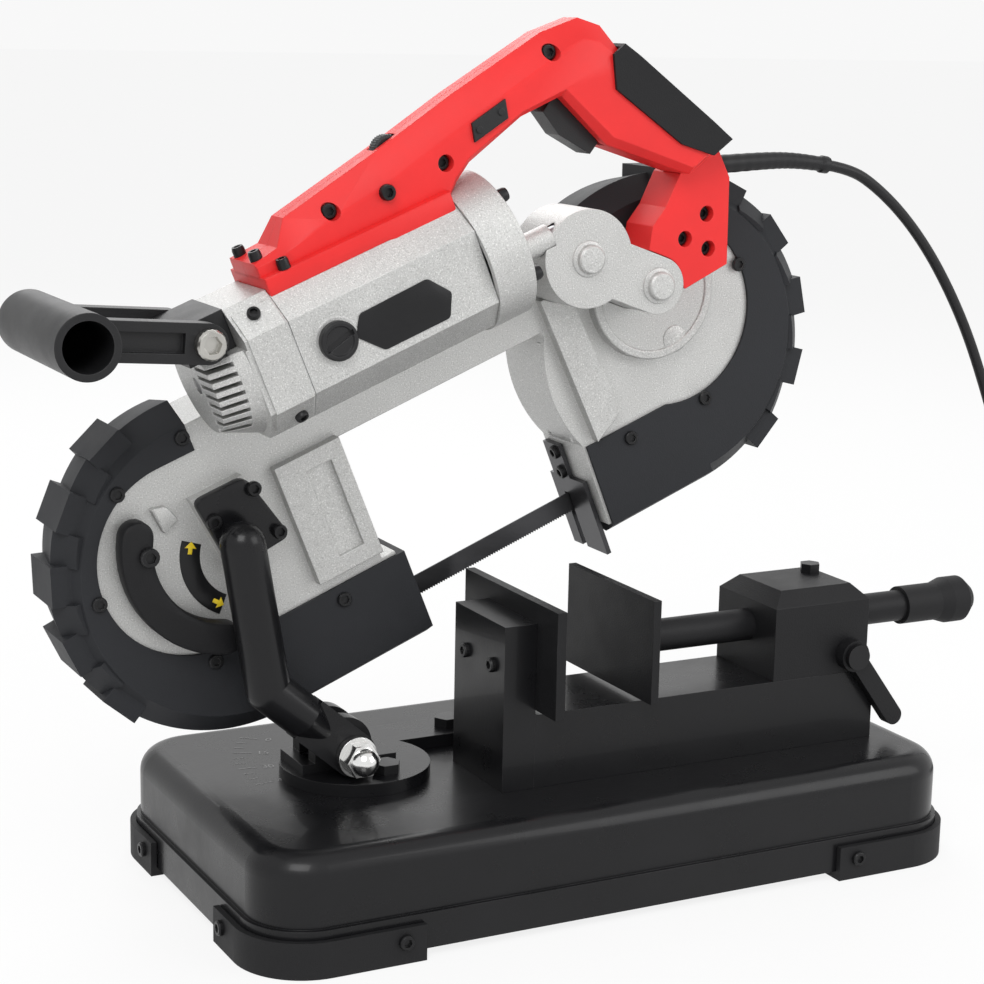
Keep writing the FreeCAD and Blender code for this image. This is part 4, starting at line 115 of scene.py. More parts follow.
def surface(name, colour, rough, metal=0.0, grain=(900.0, 0.2), vary=0.12, worn=None, flecks=0.0,
            coat=0.0, streak=(1.0, 1.0, 1.0), edge=0.0006, shine=0.5):
    """Moulded, cast or painted surface: cloudy tone, fine grain, softened edges and wear along them.

    The grain is its noise scale and bump strength, and worn is the colour of rubbed edges.
    """
    look, tree, shader = blank(name)
    grain_scale, grain_strength = grain
    place = add(tree, "TexCoord", {}).outputs["Object"]
    place = add(tree, "Mapping", {"Vector": place, "Scale": streak}).outputs["Vector"]
    clouds = add(tree, "TexNoise", {"Vector": place, **CLOUDS}).outputs["Fac"]
    fine = add(tree, "TexNoise", {"Vector": place, "Scale": grain_scale, "Detail": 3.0}).outputs["Fac"]
    tone = mixed(tree, ramp(tree, clouds, *CLOUD_SPAN), shade(colour, 1 - vary), shade(colour, 1 + vary))
    if flecks:
        tone = mixed(tree, ramp(tree, fine, *PALE_FLECKS, 0.0, flecks), tone, shade(colour, 1.7))
        tone = mixed(tree, ramp(tree, fine, *DARK_FLECKS, 0.0, flecks), tone, shade(colour, 0.55))
    soft_normal = add(tree, "Bevel", {"Radius": edge}, samples=4).outputs["Normal"]
    if worn:
        flat_normal = add(tree, "NewGeometry", {}).outputs["Normal"]
        alike = add(tree, "VectorMath", {0: soft_normal, 1: flat_normal}, operation="DOT_PRODUCT")
        rubbed = ramp(tree, alike.outputs["Value"], *WORN_EDGE)
        patchy = ramp(tree, clouds, *WORN_CLOUDS)
        share = add(tree, "Math", {0: rubbed, 1: patchy}, operation="MULTIPLY").outputs["Value"]
        tone = mixed(tree, share, tone, (*worn, 1.0))
    bump = add(tree, "Bump", {"Height": fine, "Strength": grain_strength, "Distance": BUMP_DEPTH,
                              "Normal": soft_normal})
    roughness = ramp(tree, clouds, *CLOUD_SPAN, rough - ROUGH_SWING, rough + ROUGH_SWING)
    tree.links.new(tone, shader.inputs["Base Color"])
    tree.links.new(roughness, shader.inputs["Roughness"])
    tree.links.new(bump.outputs["Normal"], shader.inputs["Normal"])
    shader.inputs["Metallic"].default_value = metal
    shader.inputs["Specular IOR Level"].default_value = shine
    shader.inputs["Coat Weight"].default_value = coat
    return look


def woven(name, colour, pitch):
    """Webbing: crossing threads at a thread pitch in metres."""
    look, tree, shader = blank(name)
    place = add(tree, "TexCoord", {}).outputs["Object"]
    wave = {"Vector": place, "Scale": WAVES_PER_THREAD / pitch, "Distortion": 0.6}
    threads = [add(tree, "TexWave", wave, bands_direction=way).outputs["Fac"] for way in ("X", "Y")]
    weave = add(tree, "Math", {0: threads[0], 1: threads[1]}, operation="MULTIPLY").outputs["Value"]
    tree.links.new(mixed(tree, weave, shade(colour, 0.6), shade(colour, 1.6)), shader.inputs["Base Color"])
    bump = add(tree, "Bump", {"Height": weave, "Strength": 0.7, "Distance": BUMP_DEPTH})
    tree.links.new(bump.outputs["Normal"], shader.inputs["Normal"])
    shader.inputs["Roughness"].default_value = 0.85
    return look


SURFACES = {
    "black_steel": dict(colour=(0.008, 0.008, 0.009), rough=0.3, grain=(420.0, 0.1),
                        worn=(0.035, 0.035, 0.037), coat=0.1, shine=0.22),
    "black_cast": dict(colour=(0.010, 0.010, 0.011), rough=0.48, grain=(1000.0, 0.4),
                       worn=(0.045, 0.045, 0.047), shine=0.22),
    "dark_rubber": dict(colour=(0.011, 0.011, 0.012), rough=0.62, grain=(1500.0, 0.3), shine=0.25),
    "bumper_rubber": dict(colour=(0.02, 0.021, 0.024), rough=0.58, grain=(1200.0, 0.22),
                          worn=(0.045, 0.047, 0.052), shine=0.25),
    "tyre_rubber": dict(colour=(0.016, 0.016, 0.016), rough=0.78, grain=(1400.0, 0.35), shine=0.25),
    "cast_alloy": dict(colour=(0.52, 0.52, 0.51), rough=0.45, metal=0.55, grain=(1250.0, 0.6), vary=0.07,
                       worn=(0.74, 0.74, 0.73), flecks=0.75, edge=0.0009),
    "wheel_alloy": dict(colour=(0.5, 0.5, 0.49), rough=0.36, metal=0.85, grain=(1000.0, 0.3), flecks=0.3,
                        worn=(0.7, 0.7, 0.69)),
    "screw_steel": dict(colour=(0.012, 0.012, 0.013), rough=0.35, metal=0.3, grain=(1600.0, 0.15),
                        worn=(0.12, 0.12, 0.12), edge=0.0003, shine=0.35),
    "zinc_steel": dict(colour=(0.5, 0.49, 0.46), rough=0.3, metal=1.0, grain=(800.0, 0.15), vary=0.15),
    "bright_steel": dict(colour=(0.8, 0.8, 0.79), rough=0.15, metal=1.0, grain=(600.0, 0.06), vary=0.05),
    "gear_steel": dict(colour=(0.4, 0.4, 0.41), rough=0.33, metal=1.0, grain=(900.0, 0.15), vary=0.2),
    "blade_steel": dict(colour=(0.07, 0.07, 0.074), rough=0.38, metal=0.8, grain=(700.0, 0.12), vary=0.25,
                        worn=(0.3, 0.3, 0.31), streak=(0.2, 1.0, 1.0), edge=0.0003),
    "red_plastic": dict(colour=(0.76, 0.026, 0.026), rough=0.42, grain=(1700.0, 0.16), vary=0.05,
                        worn=(0.84, 0.08, 0.07), edge=0.0009, shine=0.3),
    "black_plastic": dict(colour=(0.010, 0.010, 0.011), rough=0.42, grain=(1400.0, 0.3),
                          worn=(0.04, 0.04, 0.042), edge=0.0009, shine=0.35),
    "carbon": dict(colour=(0.03, 0.03, 0.031), rough=0.55, grain=(1500.0, 0.3)),
    "cord_rubber": dict(colour=(0.010, 0.010, 0.011), rough=0.45, grain=(1500.0, 0.12), shine=0.3),
    "yellow_print": dict(colour=(0.85, 0.62, 0.02), rough=0.45, grain=(900.0, 0.05), vary=0.05),
    "pale_print": dict(colour=(0.3, 0.3, 0.3), rough=0.5, grain=(900.0, 0.05), vary=0.05),
}
LOOKS = {name: surface(name, **settings) for name, settings in SURFACES.items()}
LOOKS["tie_fabric"] = woven("tie_fabric", (0.02, 0.02, 0.021), 0.0008)
SHOWN_AS = {"hex_bolts": "screw_steel", "handle_bracket": "black_plastic"}  # darker than their slots
SMOOTH_ANGLE = math.radians(28)


def dress(obj, look):
    """Give an object its look, smooth but for its sharp edges."""
    obj.data.materials.clear()
    obj.data.materials.append(look)
    obj.data.shade_smooth()
    obj.data.set_sharp_from_angle(angle=SMOOTH_ANGLE)


for part in frame["record"]["subparts"]:
    dress(frame["nodes"][part["node"]], LOOKS[SHOWN_AS.get(part["node"], part["material_slot"])])

# Shapes: bmesh pieces in millimetres of the saw or the stand, and for the cord in metres


def piece(name, shape, slot, body="saw", place=SAW, look=None, replaces=()):
    """One object from a bmesh, set in its place and riding on a body."""
    bmesh.ops.remove_doubles(shape, verts=shape.verts, dist=0.001)
    shape.transform(place)
    bmesh.ops.recalc_face_normals(shape, faces=shape.faces)
    mesh = bpy.data.meshes.new(name)
    shape.to_mesh(mesh)
    shape.free()
    obj = bpy.data.objects.new(name, mesh)
    bpy.context.collection.objects.link(obj)
    dress(obj, look or LOOKS[slot])
    if body:
        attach(obj, body)
    if replaces:
        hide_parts(*replaces)
    return obj


def mesh_of(curve):
    """Mesh made from a curve or from text, which is then removed."""
    carrier = bpy.data.objects.new(curve.name, curve)
    mesh = bpy.data.meshes.new_from_object(carrier)
    bpy.data.objects.remove(carrier)
    bpy.data.curves.remove(curve)
    return mesh


def route_line(points):
    """Smooth line through the air for a cord: a NURBS spline with these control points."""
    curve = bpy.data.curves.new("route", "CURVE")
    curve.dimensions = "3D"
    curve.resolution_u = 6
    spline = curve.splines.new("NURBS")
    spline.points.add(len(points) - 1)
    for control, point in zip(spline.points, points):
        control.co = (*point, 1.0)
    spline.order_u = 3
    spline.use_endpoint_u = True
    mesh = mesh_of(curve)
    line = [vertex.co.copy() for vertex in mesh.vertices]
    bpy.data.meshes.remove(mesh)
    return line


def tube(line, radii, sides=14):
    """Closed tube round a line, with one radius at each of its points."""
    shape = bmesh.new()
    side = Vector(ACROSS)
    turns = [math.tau * k / sides for k in range(sides)]
    rings = []
    for i, (point, radius) in enumerate(zip(line, radii)):
        along = (line[min(i + 1, len(line) - 1)] - line[max(i - 1, 0)]).normalized()
        side = (side - along * side.dot(along)).normalized()
        up = along.cross(side)
        rings.append([shape.verts.new(point + (side * math.cos(t) + up * math.sin(t)) * radius)
                      for t in turns])
    for ring, following in zip(rings, rings[1:]):
        for k in range(sides):
            shape.faces.new((ring[k], ring[k - 1], following[k - 1], following[k]))
    shape.faces.new(rings[0])
    shape.faces.new(rings[-1][::-1])
    return shape


def ring_faces(shape, loops):
    """Skin between neighbouring loops of the same length, closed at both ends."""
    for first, second in zip(loops, loops[1:]):
        for k in range(len(first)):
            shape.faces.new((first[k - 1], first[k], second[k], second[k - 1]))
    shape.faces.new(loops[0][::-1])
    shape.faces.new(loops[-1])


def polar(reach, angle):
    """Vector of a length at an angle in degrees."""
    turn = math.radians(angle)
    return Vector((math.cos(turn), math.sin(turn))) * reach


def arc(middle, reach, start, end, steps):
    """Points round a middle from one angle to another, in degrees."""
    return [middle + polar(reach, start + (end - start) * k / steps) for k in range(steps + 1)]


def rectangle(left, right, low, high):
    return [(left, low), (right, low), (right, high), (left, high)]


def neighbours(outline):
    """Each corner of an outline, between the one before and the one after it."""
    corners = [Vector(corner) for corner in outline]
    return list(zip(corners[-1:] + corners[:-1], corners, corners[1:] + corners[:1]))


SHARPEST = 0.4  # least cosine at a corner that an inset follows in full
SIDE_LIMIT = 0.45  # share of a side that a rounded corner may take


def inset(outline, amount):
    """Outline moved inwards, whichever way its corners run."""
    corners = neighbours(outline)
    area = sum(a.x * b.y - b.x * a.y for _, a, b in corners)
    turn = 1.0 if area > 0 else -1.0
    moved = []
    for before, corner, after in corners:
        ahead_in, ahead_out = (corner - before).normalized(), (after - corner).normalized()
        normal_in = Vector((-ahead_in.y, ahead_in.x)) * turn
        normal_out = Vector((-ahead_out.y, ahead_out.x)) * turn
        half = (normal_in + normal_out).normalized()
        moved.append(corner + half * (amount / max(SHARPEST, half.dot(normal_in))))
    return moved


def rounded(outline, radius, steps=5):
    """Outline with its corners rounded, each as far as its sides allow."""
    made = []
    for before, corner, after in neighbours(outline):
        reach = min(radius, (before - corner).length * SIDE_LIMIT, (after - corner).length * SIDE_LIMIT)
        start = corner + (before - corner).normalized() * reach
        end = corner + (after - corner).normalized() * reach
        for k in range(steps + 1):
            t = k / steps
            made.append(start * (1 - t) ** 2 + corner * (2 * t * (1 - t)) + end * t ** 2)
    return made


def slab(shape, outline, back, front, chamfer=0.6):
    """Plate across the saw's depth with a rounded front rim; the outline is in (u, w)."""
    way = 1.0 if front > back else -1.0
    rim = [(0.0, back), (0.0, front - way * chamfer), (chamfer * 0.3, front - way * chamfer * 0.3),
           (chamfer, front)]
    loops = [[shape.verts.new((point.x, depth, point.y)) for point in inset(outline, amount)]
             for amount, depth in rim]
    ring_faces(shape, loops)


def around(out):
    """A way out and two ways square to it."""
    out = Vector(out).normalized()
    first = out.orthogonal().normalized()
    return out, first, out.cross(first)


def lathe(shape, at, out, profile, sides=48, knurl=0.0):
    """Turned piece: profile points are (radius, height along out); knurl sinks every second line of it."""
    out, first, second = around(out)
    turns = [math.tau * k / sides for k in range(sides)]
    ways = [(first * math.cos(t) + second * math.sin(t)) * (1 - knurl * (k % 2))
            for k, t in enumerate(turns)]
    loops = [[shape.verts.new(Vector(at) + out * height + way * radius) for way in ways]
             for radius, height in profile]
    ring_faces(shape, loops)


HEAD_SIDES = 36
HEAD_KNURL = 0.035
HEX_CORNER = math.pi / 3
HEAD_RINGS = [  # share of the radius, share of the rise, kind of ring
    (1.0, 0.0, "knurl"), (1.0, 0.72, "knurl"), (0.86, 1.0, "round"), (0.6, 1.0, "hex"), (0.57, 0.4, "hex")]


def socket_head(shape, at, out, radius, rise):
    """Knurled cap screw head with a hexagon socket."""
    out, first, second = around(out)
    loops = []
    for reach, height, kind in HEAD_RINGS:
        loop = []
        for k in range(HEAD_SIDES):
            t = math.tau * k / HEAD_SIDES
            length = radius * reach
            if kind == "knurl" and k % 2:
                length -= HEAD_KNURL * radius
            if kind == "hex":
                length *= math.cos(HEX_CORNER / 2) / math.cos(t % HEX_CORNER - HEX_CORNER / 2)
            way = first * math.cos(t) + second * math.sin(t)
            loop.append(shape.verts.new(Vector(at) + out * (rise * height) + way * length))
        loops.append(loop)
    ring_faces(shape, loops)


def carved(shape, cutter):
    """Shape with the cutter taken away."""
    carriers = []
    for part in (shape, cutter):
        bmesh.ops.recalc_face_normals(part, faces=part.faces)
        mesh = bpy.data.meshes.new("carving")
        part.to_mesh(mesh)
        part.free()
        carriers.append(bpy.data.objects.new("carving", mesh))
        bpy.context.collection.objects.link(carriers[-1])
    knife = carriers[0].modifiers.new("carve", "BOOLEAN")
    knife.operation = "DIFFERENCE"
    knife.solver = "EXACT"
    knife.use_self = True
    knife.object = carriers[1]
    bpy.context.view_layer.update()
    made = bpy.data.meshes.new_from_object(
        carriers[0].evaluated_get(bpy.context.evaluated_depsgraph_get()))
    result = bmesh.new()
    result.from_mesh(made)
    bpy.data.meshes.remove(made)
    for carrier in carriers:
        mesh = carrier.data
        bpy.data.objects.remove(carrier)
        bpy.data.meshes.remove(mesh)
    return result


# Mains cord: it leaves the saw through a ribbed sleeve, falls to the floor, and its rest is coiled and tied
CORD_Y = -26.0
CORD_RADIUS = 3.4
COIL_MIDDLE = (436.0, -14.0)
COIL_STEP = 7.6
COIL_INNER = 26.6
COIL_LOW = 4.7
COIL_LEAD = [(412.2, -64.0), (429.2, -63.6)]
COIL_TAIL = 42.0
TURNS_IN = 3
TURNS_OUT = 2.5
CROSSING = 0.5
POINTS_PER_TURN = 16
SLEEVE = [(90, CORD_Y, 425.6), (126, CORD_Y, 428), (155, CORD_Y, 428), (175.7, CORD_Y, 424.8)]
FALL = [  # x, sideways from the sleeve, height
    (194.5, 0, 421.9), (214, 0, 411), (236, 0, 393.5), (257, 0, 371), (276, 0, 345), (294, 0, 315),
    (310, 0, 281), (325, 0, 245), (338, 0, 207), (349, 0, 168), (355.5, -0.5, 128), (359, -3, 90),
    (362, -8, 57), (368, -16, 31), (379, -26, 14.5), (394.5, -34.5, 6.6)]


def coil_point(turn):
    """A control point of the coil; turn counts from the outside in, then out again on top."""
    past = turn - TURNS_IN
    if past <= 0:
        radius, height = COIL_INNER - past * COIL_STEP, COIL_LOW
    elif past < CROSSING:
        radius = COIL_INNER - COIL_STEP / 4 * math.sin(math.tau * past)
        height = COIL_LOW + COIL_STEP * (0.5 - 0.5 * math.cos(math.tau * past))
    else:
        radius, height = COIL_INNER + (past - CROSSING) * COIL_STEP, COIL_LOW + COIL_STEP
    radius /= math.cos(math.pi / POINTS_PER_TURN)
    angle = math.tau * (turn - 0.25)
    return Vector((COIL_MIDDLE[0] + radius * math.cos(angle), COIL_MIDDLE[1] + radius * math.sin(angle),
                   height))


coil_steps = round((TURNS_IN + CROSSING + TURNS_OUT) * POINTS_PER_TURN)
coil = [coil_point(step / POINTS_PER_TURN) for step in range(coil_steps + 1)]
coil_way_out = (coil[-1] - coil[-2]).normalized()
cord_end = coil[-1] + coil_way_out * COIL_TAIL
cord_points = ([Vector(SLEEVE[-1])] + [Vector((x, CORD_Y + y, z)) for x, y, z in FALL]
               + [Vector((x, y, COIL_LOW)) for x, y in COIL_LEAD] + coil + [cord_end])
cord_line = route_line([point * MM for point in cord_points])
cord = piece("mains_cord", tube(cord_line, [CORD_RADIUS * MM] * len(cord_line)), "cord_rubber", body=None,
             place=METRES, replaces=("cord", "cord_coil"))
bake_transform(cord)

RIBS = 14
RIB_DEPTH, RIBS_END = 0.2, 0.92
SLEEVE_RADIUS, SLEEVE_TAPER = 5.8, 1.3
COLLAR_RISE, COLLAR_START = 0.8, 0.94
FINER = 6
sleeve_line = route_line([Vector(point) * MM for point in SLEEVE])
sleeve_line = [a.lerp(b, k / FINER) for a, b in zip(sleeve_line, sleeve_line[1:])
               for k in range(FINER)] + sleeve_line[-1:]
sleeve_radii = []
for i in range(len(sleeve_line)):
    share = i / (len(sleeve_line) - 1)
    groove = RIB_DEPTH * (0.5 - 0.5 * math.cos(math.tau * RIBS * share)) if share < RIBS_END else 0.0
    collar = COLLAR_RISE if share > COLLAR_START else 0.0
    sleeve_radii.append((SLEEVE_RADIUS - SLEEVE_TAPER * share - groove + collar) * MM)
piece("strain_relief", tube(sleeve_line, sleeve_radii, sides=20), "cord_rubber", place=METRES,
      replaces=("cord_sleeve",))

TIE_CORNER, TIE_THICK = 0.0035, 0.0009
CORNER_POINTS, CORNER_STEP = 6, 18


def tie_shape():
    """Woven strap round the coil with rounded corners."""
    low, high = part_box("cord_tie")
    left, right = low[0] + TIE_CORNER, high[0] - TIE_CORNER
    bottom, top = low[2] + TIE_CORNER, high[2] - TIE_CORNER
    shape = bmesh.new()
    outline = []
    for x, z, start in ((right, top, 0), (left, top, 90), (left, bottom, 180), (right, bottom, 270)):
        for k in range(CORNER_POINTS):
            turn = math.radians(start + CORNER_STEP * k)
            outline.append((Vector((x, 0, z)), Vector((math.cos(turn), 0, math.sin(turn)))))
    loops = []
    for y in (low[1], high[1]):
        for reach in (TIE_CORNER, TIE_CORNER - TIE_THICK):
            loops.append([shape.verts.new(centre + out * reach + Vector((0, y, 0)))
                          for centre, out in outline])
    for first, second in ((0, 1), (1, 3), (3, 2), (2, 0)):
        for k in range(len(outline)):
            shape.faces.new((loops[first][k], loops[first][k - 1], loops[second][k - 1], loops[second][k]))
    return shape


tie = piece("coil_tie", tie_shape(), "tie_fabric", body="base", place=METRES, replaces=("cord_tie",))

# Plug on the cord's end: moulded body with a ribbed neck, and two blades with eyes
plug_up = Vector(UP)
plug_turn = Matrix((coil_way_out, plug_up.cross(coil_way_out), plug_up)).transposed().to_4x4()
plug_place = STAND @ Matrix.Translation(cord_end) @ plug_turn
PLUG_NECK = [(5.2 + 0.09 * x - (0.7 if x % 3 else 0.0), x) for x in range(18)]
PLUG_BODY = [(9.0, 18.5), (9.6, 20), (11.6, 29), (12.0, 31), (12.0, 35), (11.3, 35.6), (11.3, 37.4),
             (12.0, 38), (12.0, 41), (11.3, 41.6), (11.3, 43.4), (12.0, 44), (11.8, 45.4), (11.0, 46)]
PLUG_BLADE = rectangle(45, 62.8, -3.2, 3.2)
BLADE_SIDES, BLADE_HALF = (-6.0, 6.0), 0.75
EYE_AT, EYE_RADIUS, EYE_HALF = 58, 1.6, 2
plug_shape, blade_shape, eyes = bmesh.new(), bmesh.new(), bmesh.new()
lathe(plug_shape, (0, 0, 0), RIGHT, PLUG_NECK + PLUG_BODY, sides=40)
plug_body = piece("plug_body", plug_shape, "cord_rubber", body="base", place=plug_place, replaces=("plug",))
for side in BLADE_SIDES:
    slab(blade_shape, rounded(PLUG_BLADE, 1.6), side - BLADE_HALF, side + BLADE_HALF, chamfer=0.15)
    lathe(eyes, (EYE_AT, side - EYE_HALF, 0), ACROSS, [(EYE_RADIUS, 0.0), (EYE_RADIUS, 2 * EYE_HALF)],
          sides=24)
plug_blades = piece("plug_blades", carved(blade_shape, eyes), "bright_steel", body="base", place=plug_place)

# Rear handle: two moulded halves with a sloping shoulder and sunk screw bores, a foot flange and the dial
MOTOR_Y, MOTOR_W = -33.0, 99
HALF = 20.0
HANDLE = [  # rim corner (u, w), depth of the shoulder, corner of the side face
    ((80, 132), 18, (80.5, 132)), ((80, 151), 18, (80.5, 149)), ((97, 153), 14, (100, 149.5)),
    ((108, 165), 8, (119, 153)), ((173, 177), 8, (172, 160)), ((225, 188), 8, (222, 170.5)),
    ((290, 199), 8, (291, 184)), ((315, 198), 8, (308, 187)), ((326, 189), 10, (317, 182)),
    ((330, 173), 15, (325, 171)), ((337, 164), 15, (331, 161.5)), ((370, 111), 15, (364.5, 110)),
    ((379, 96), 15, (373, 97.5)), ((350, 88), 15, (351.5, 92)), ((304, 126), 15, (308, 129)),
    ((286, 163), 16, (288.5, 166)), ((258, 162), 16, (258, 165)), ((219, 151), 16, (218, 154)),
    ((208, 144), 16, (206.5, 147)), ((198.7, 137), 18, (198, 138)), ((198.7, 132), 18, (198, 132))]
SEAM = 0.05
SIDE_ROUND = 0.6
SIDE_SHARE = 0.85
SHELL_SCREWS = [(132, 159), (204, 157), (288, 188)]
BORE_RADIUS, BORE_DEPTH, BORE_REACH = 4.8, 8.0, 20.0
TRIGGER_SLOT = [(274, 155), (281, 178), (299, 178), (316, 128), (296, 118), (279, 139)]
TRIGGER_HALF = 8.4
DIAL_U, DIAL_W = 181, 173
DIAL_HALF = 4
DIAL = [(7.6, 0.0), (9.0, 0.9), (9.0, 7.1), (7.6, 8.0)]
DIAL_SLOT_RADIUS, DIAL_SLOT_HALF = 9.7, 4.4
FLANGE = [(80, 132.6), (80, 143.4), (198.7, 143.4), (198.7, 130.6), (159, 130.6), (155, 132.6)]
FLANGE_FACES = (-59.0, -7.0)


def handle_half(side):
    """One half of the handle; side is -1 for the near half and 1 for the far one."""
    def depth(amount):
        return MOTOR_Y + side * amount

    shape, knife = bmesh.new(), bmesh.new()
    rims = [Vector(rim) for rim, _, _ in HANDLE]
    faces = [Vector(face) for _, _, face in HANDLE]
    slopes = [rim.lerp(face, SIDE_SHARE) for rim, face in zip(rims, faces)]
    levels = [(rims, [SEAM] * len(rims)), (rims, [shoulder for _, shoulder, _ in HANDLE]),
              (slopes, [HALF - SIDE_ROUND] * len(rims)), (faces, [HALF] * len(rims))]
    ring_faces(shape, [[shape.verts.new((at.x, depth(amount), at.y)) for at, amount in zip(corners, amounts)]
                       for corners, amounts in levels])
    for u, w in SHELL_SCREWS:
        lathe(knife, (u, depth(HALF - BORE_DEPTH), w), (0, side, 0),
              [(BORE_RADIUS, 0.0), (BORE_RADIUS, BORE_REACH)], sides=32)
    slab(knife, TRIGGER_SLOT, MOTOR_Y - TRIGGER_HALF, MOTOR_Y + TRIGGER_HALF, chamfer=0.05)
    lathe(knife, (DIAL_U, MOTOR_Y - DIAL_SLOT_HALF, DIAL_W), ACROSS,
          [(DIAL_SLOT_RADIUS, 0.0), (DIAL_SLOT_RADIUS, 2 * DIAL_SLOT_HALF)], sides=40)
    return carved(shape, knife)


piece("handle_near_half", handle_half(-1), "red_plastic", replaces=("handle_near_shell",))
piece("handle_far_half", handle_half(1), "red_plastic", replaces=("handle_far_shell",))
flange = bmesh.new()
for front in FLANGE_FACES:
    slab(flange, FLANGE, MOTOR_Y, front, chamfer=1.6)
piece("handle_flange", flange, "red_plastic")
dial = bmesh.new()
lathe(dial, (DIAL_U, MOTOR_Y - DIAL_HALF, DIAL_W), ACROSS, DIAL, sides=72, knurl=0.06)
piece("speed_wheel", dial, "black_plastic", body="speed_dial", replaces=("speed_dial",))

# Cap screws: the heads of the screw nodes, and those of the handle foot, the gear head and the vent cap
ARM_SCREWS = [(43.5, 25.5), (15, 18.5), (48, -4.5)]
LIP_SCREWS = [(19.8, 66.8), (-26.4, 54), (-59.9, 1.4), (-12.4, -62), (72.5, -66), (281.9, -62),
              (339.3, -62), (390, 7), (372, 52)]
BRACKET_SCREWS = [(359, 58), (340, 50), (353, 38)]
STOP_SCREWS = [(246.7, 33, -61), (246.7, 33, -75)]
LEVER_BOLT = (-27, -16.3, 18)
HANDLE_BOLT = (36, -68.2, 127)
SIDE_SCREW = (165, -52.8, 156.5)
FOOT_SCREWS = [(84.5, -45, 150.6), (94, -55.8, 143.2), (84.5, -21, 150.6), (94, -10.2, 143.2)]
GEAR_HEAD_U, GEAR_HEAD_CIRCLE = 223.9, 38
GEAR_HEAD_SCREWS = [Vector((GEAR_HEAD_U, MOTOR_Y, MOTOR_W)) + Vector((0, *polar(GEAR_HEAD_CIRCLE, angle)))
                    for angle in (130, 207, 50, -27)]
VENT_CAP_SCREWS = [((70, -63.2, 68.3), (0, -1, -1)), ((66, -63.2, 129.7), (0, -1, 1)),
                   ((70, -3.6, 69.2), (0, 1, -1)), ((66, -3.6, 128.8), (0, 1, 1))]
JAW_SCREWS = [(-63.9, -54, 141), (-63.9, -20, 141)]
FEET = [(sx, sy) for sx in (-1, 1) for sy in (-1, 1)]
LONG_SIDE_SCREW, SHORT_SIDE_SCREW, FEET_SCREW_Z = (152, 126.4), (236.4, 66), 13


def foot_place(sides, place):
    """A screw's place on one foot, from its place on the foot at the right and far side."""
    return sides[0] * place[0], sides[1] * place[1], FEET_SCREW_Z


def at_depth(y, places):
    return [(u, y, w) for u, w in places]


def screw_heads(groups):
    """Cap screw heads; each group has its places, way out, radius and rise."""
    shape = bmesh.new()
    for places, out, radius, rise in groups:
        for at in places:
            socket_head(shape, at, out, radius, rise)
    return shape


piece("handle_bolt_head", screw_heads([([HANDLE_BOLT], NEAR, 8.5, 6.0)]), "zinc_steel",
      replaces=("handle_bolt",))
saw_heads = screw_heads([
    (at_depth(-13.9, ARM_SCREWS), NEAR, 4.4, 3.6), (at_depth(-1.9, LIP_SCREWS), NEAR, 4.4, 2.2),
    (at_depth(-45.0, SHELL_SCREWS), NEAR, 4.3, 3.4), (at_depth(-30.3, BRACKET_SCREWS), NEAR, 4.3, 3.4),
    (STOP_SCREWS, LEFT, 4.4, 3.0), ([LEVER_BOLT], NEAR, 5.7, 3.6)])
piece("saw_cap_screws", saw_heads, "screw_steel", replaces=("saw_screws",))
extra_heads = screw_heads(
    [(FOOT_SCREWS, UP, 3.6, 6.0), (GEAR_HEAD_SCREWS, RIGHT, 4.2, 6.5), ([SIDE_SCREW], NEAR, 4.6, 4.0)]
    + [([at], out, 3.8, 3.2) for at, out in VENT_CAP_SCREWS])
piece("extra_cap_screws", extra_heads, "screw_steel")
stand_heads = screw_heads(
    [([foot_place(foot, LONG_SIDE_SCREW)], (0, foot[1], 0), 4.4, 3.0) for foot in FEET]
    + [([foot_place(foot, SHORT_SIDE_SCREW)], (foot[0], 0, 0), 4.4, 3.0) for foot in FEET]
    + [(JAW_SCREWS, LEFT, 4.4, 3.0)])
piece("stand_cap_screws", stand_heads, "screw_steel", body="base", place=STAND, replaces=("stand_screws",))

# Brush caps with a coin slot, one on each side of the motor
BRUSH_U, BRUSH_REACH = 102, 38.0
BRUSH_SUNK = 0.5
BRUSH_CAP = [(11.0, 0.0), (11.0, 4.2), (10.2, 5.2), (8.4, 5.2), (7.8, 4.2), (7.6, 4.0)]
COIN_SLOT = [(93, 95.4), (93, 98.6), (111, 102.6), (111, 99.4)]
COIN_SLOT_FLOOR, COIN_SLOT_TOP = 2.4, 9
brushes, coins = bmesh.new(), bmesh.new()
for side in (-1, 1):
    face = MOTOR_Y + side * BRUSH_REACH
    lathe(brushes, (BRUSH_U, face - side * BRUSH_SUNK, MOTOR_W), (0, side, 0), BRUSH_CAP)
    slab(coins, COIN_SLOT, face + side * COIN_SLOT_FLOOR, face + side * COIN_SLOT_TOP, chamfer=0.05)
piece("brush_cap_faces", carved(brushes, coins), "black_plastic", replaces=("brush_caps",))

# Bare name plate on the motor, and a bare label with two arrows by the tension lever
NAME_PLATE = [(112.5, 96), (119, 107), (163, 108), (174, 95), (168, 82), (126, 82)]
NAME_PLATE_FACES = (-70.9, -71.9)
plate = bmesh.new()
slab(plate, rounded(NAME_PLATE, 2.0), *NAME_PLATE_FACES, chamfer=0.4)
piece("name_plate", plate, "black_plastic", look=LOOKS["screw_steel"])

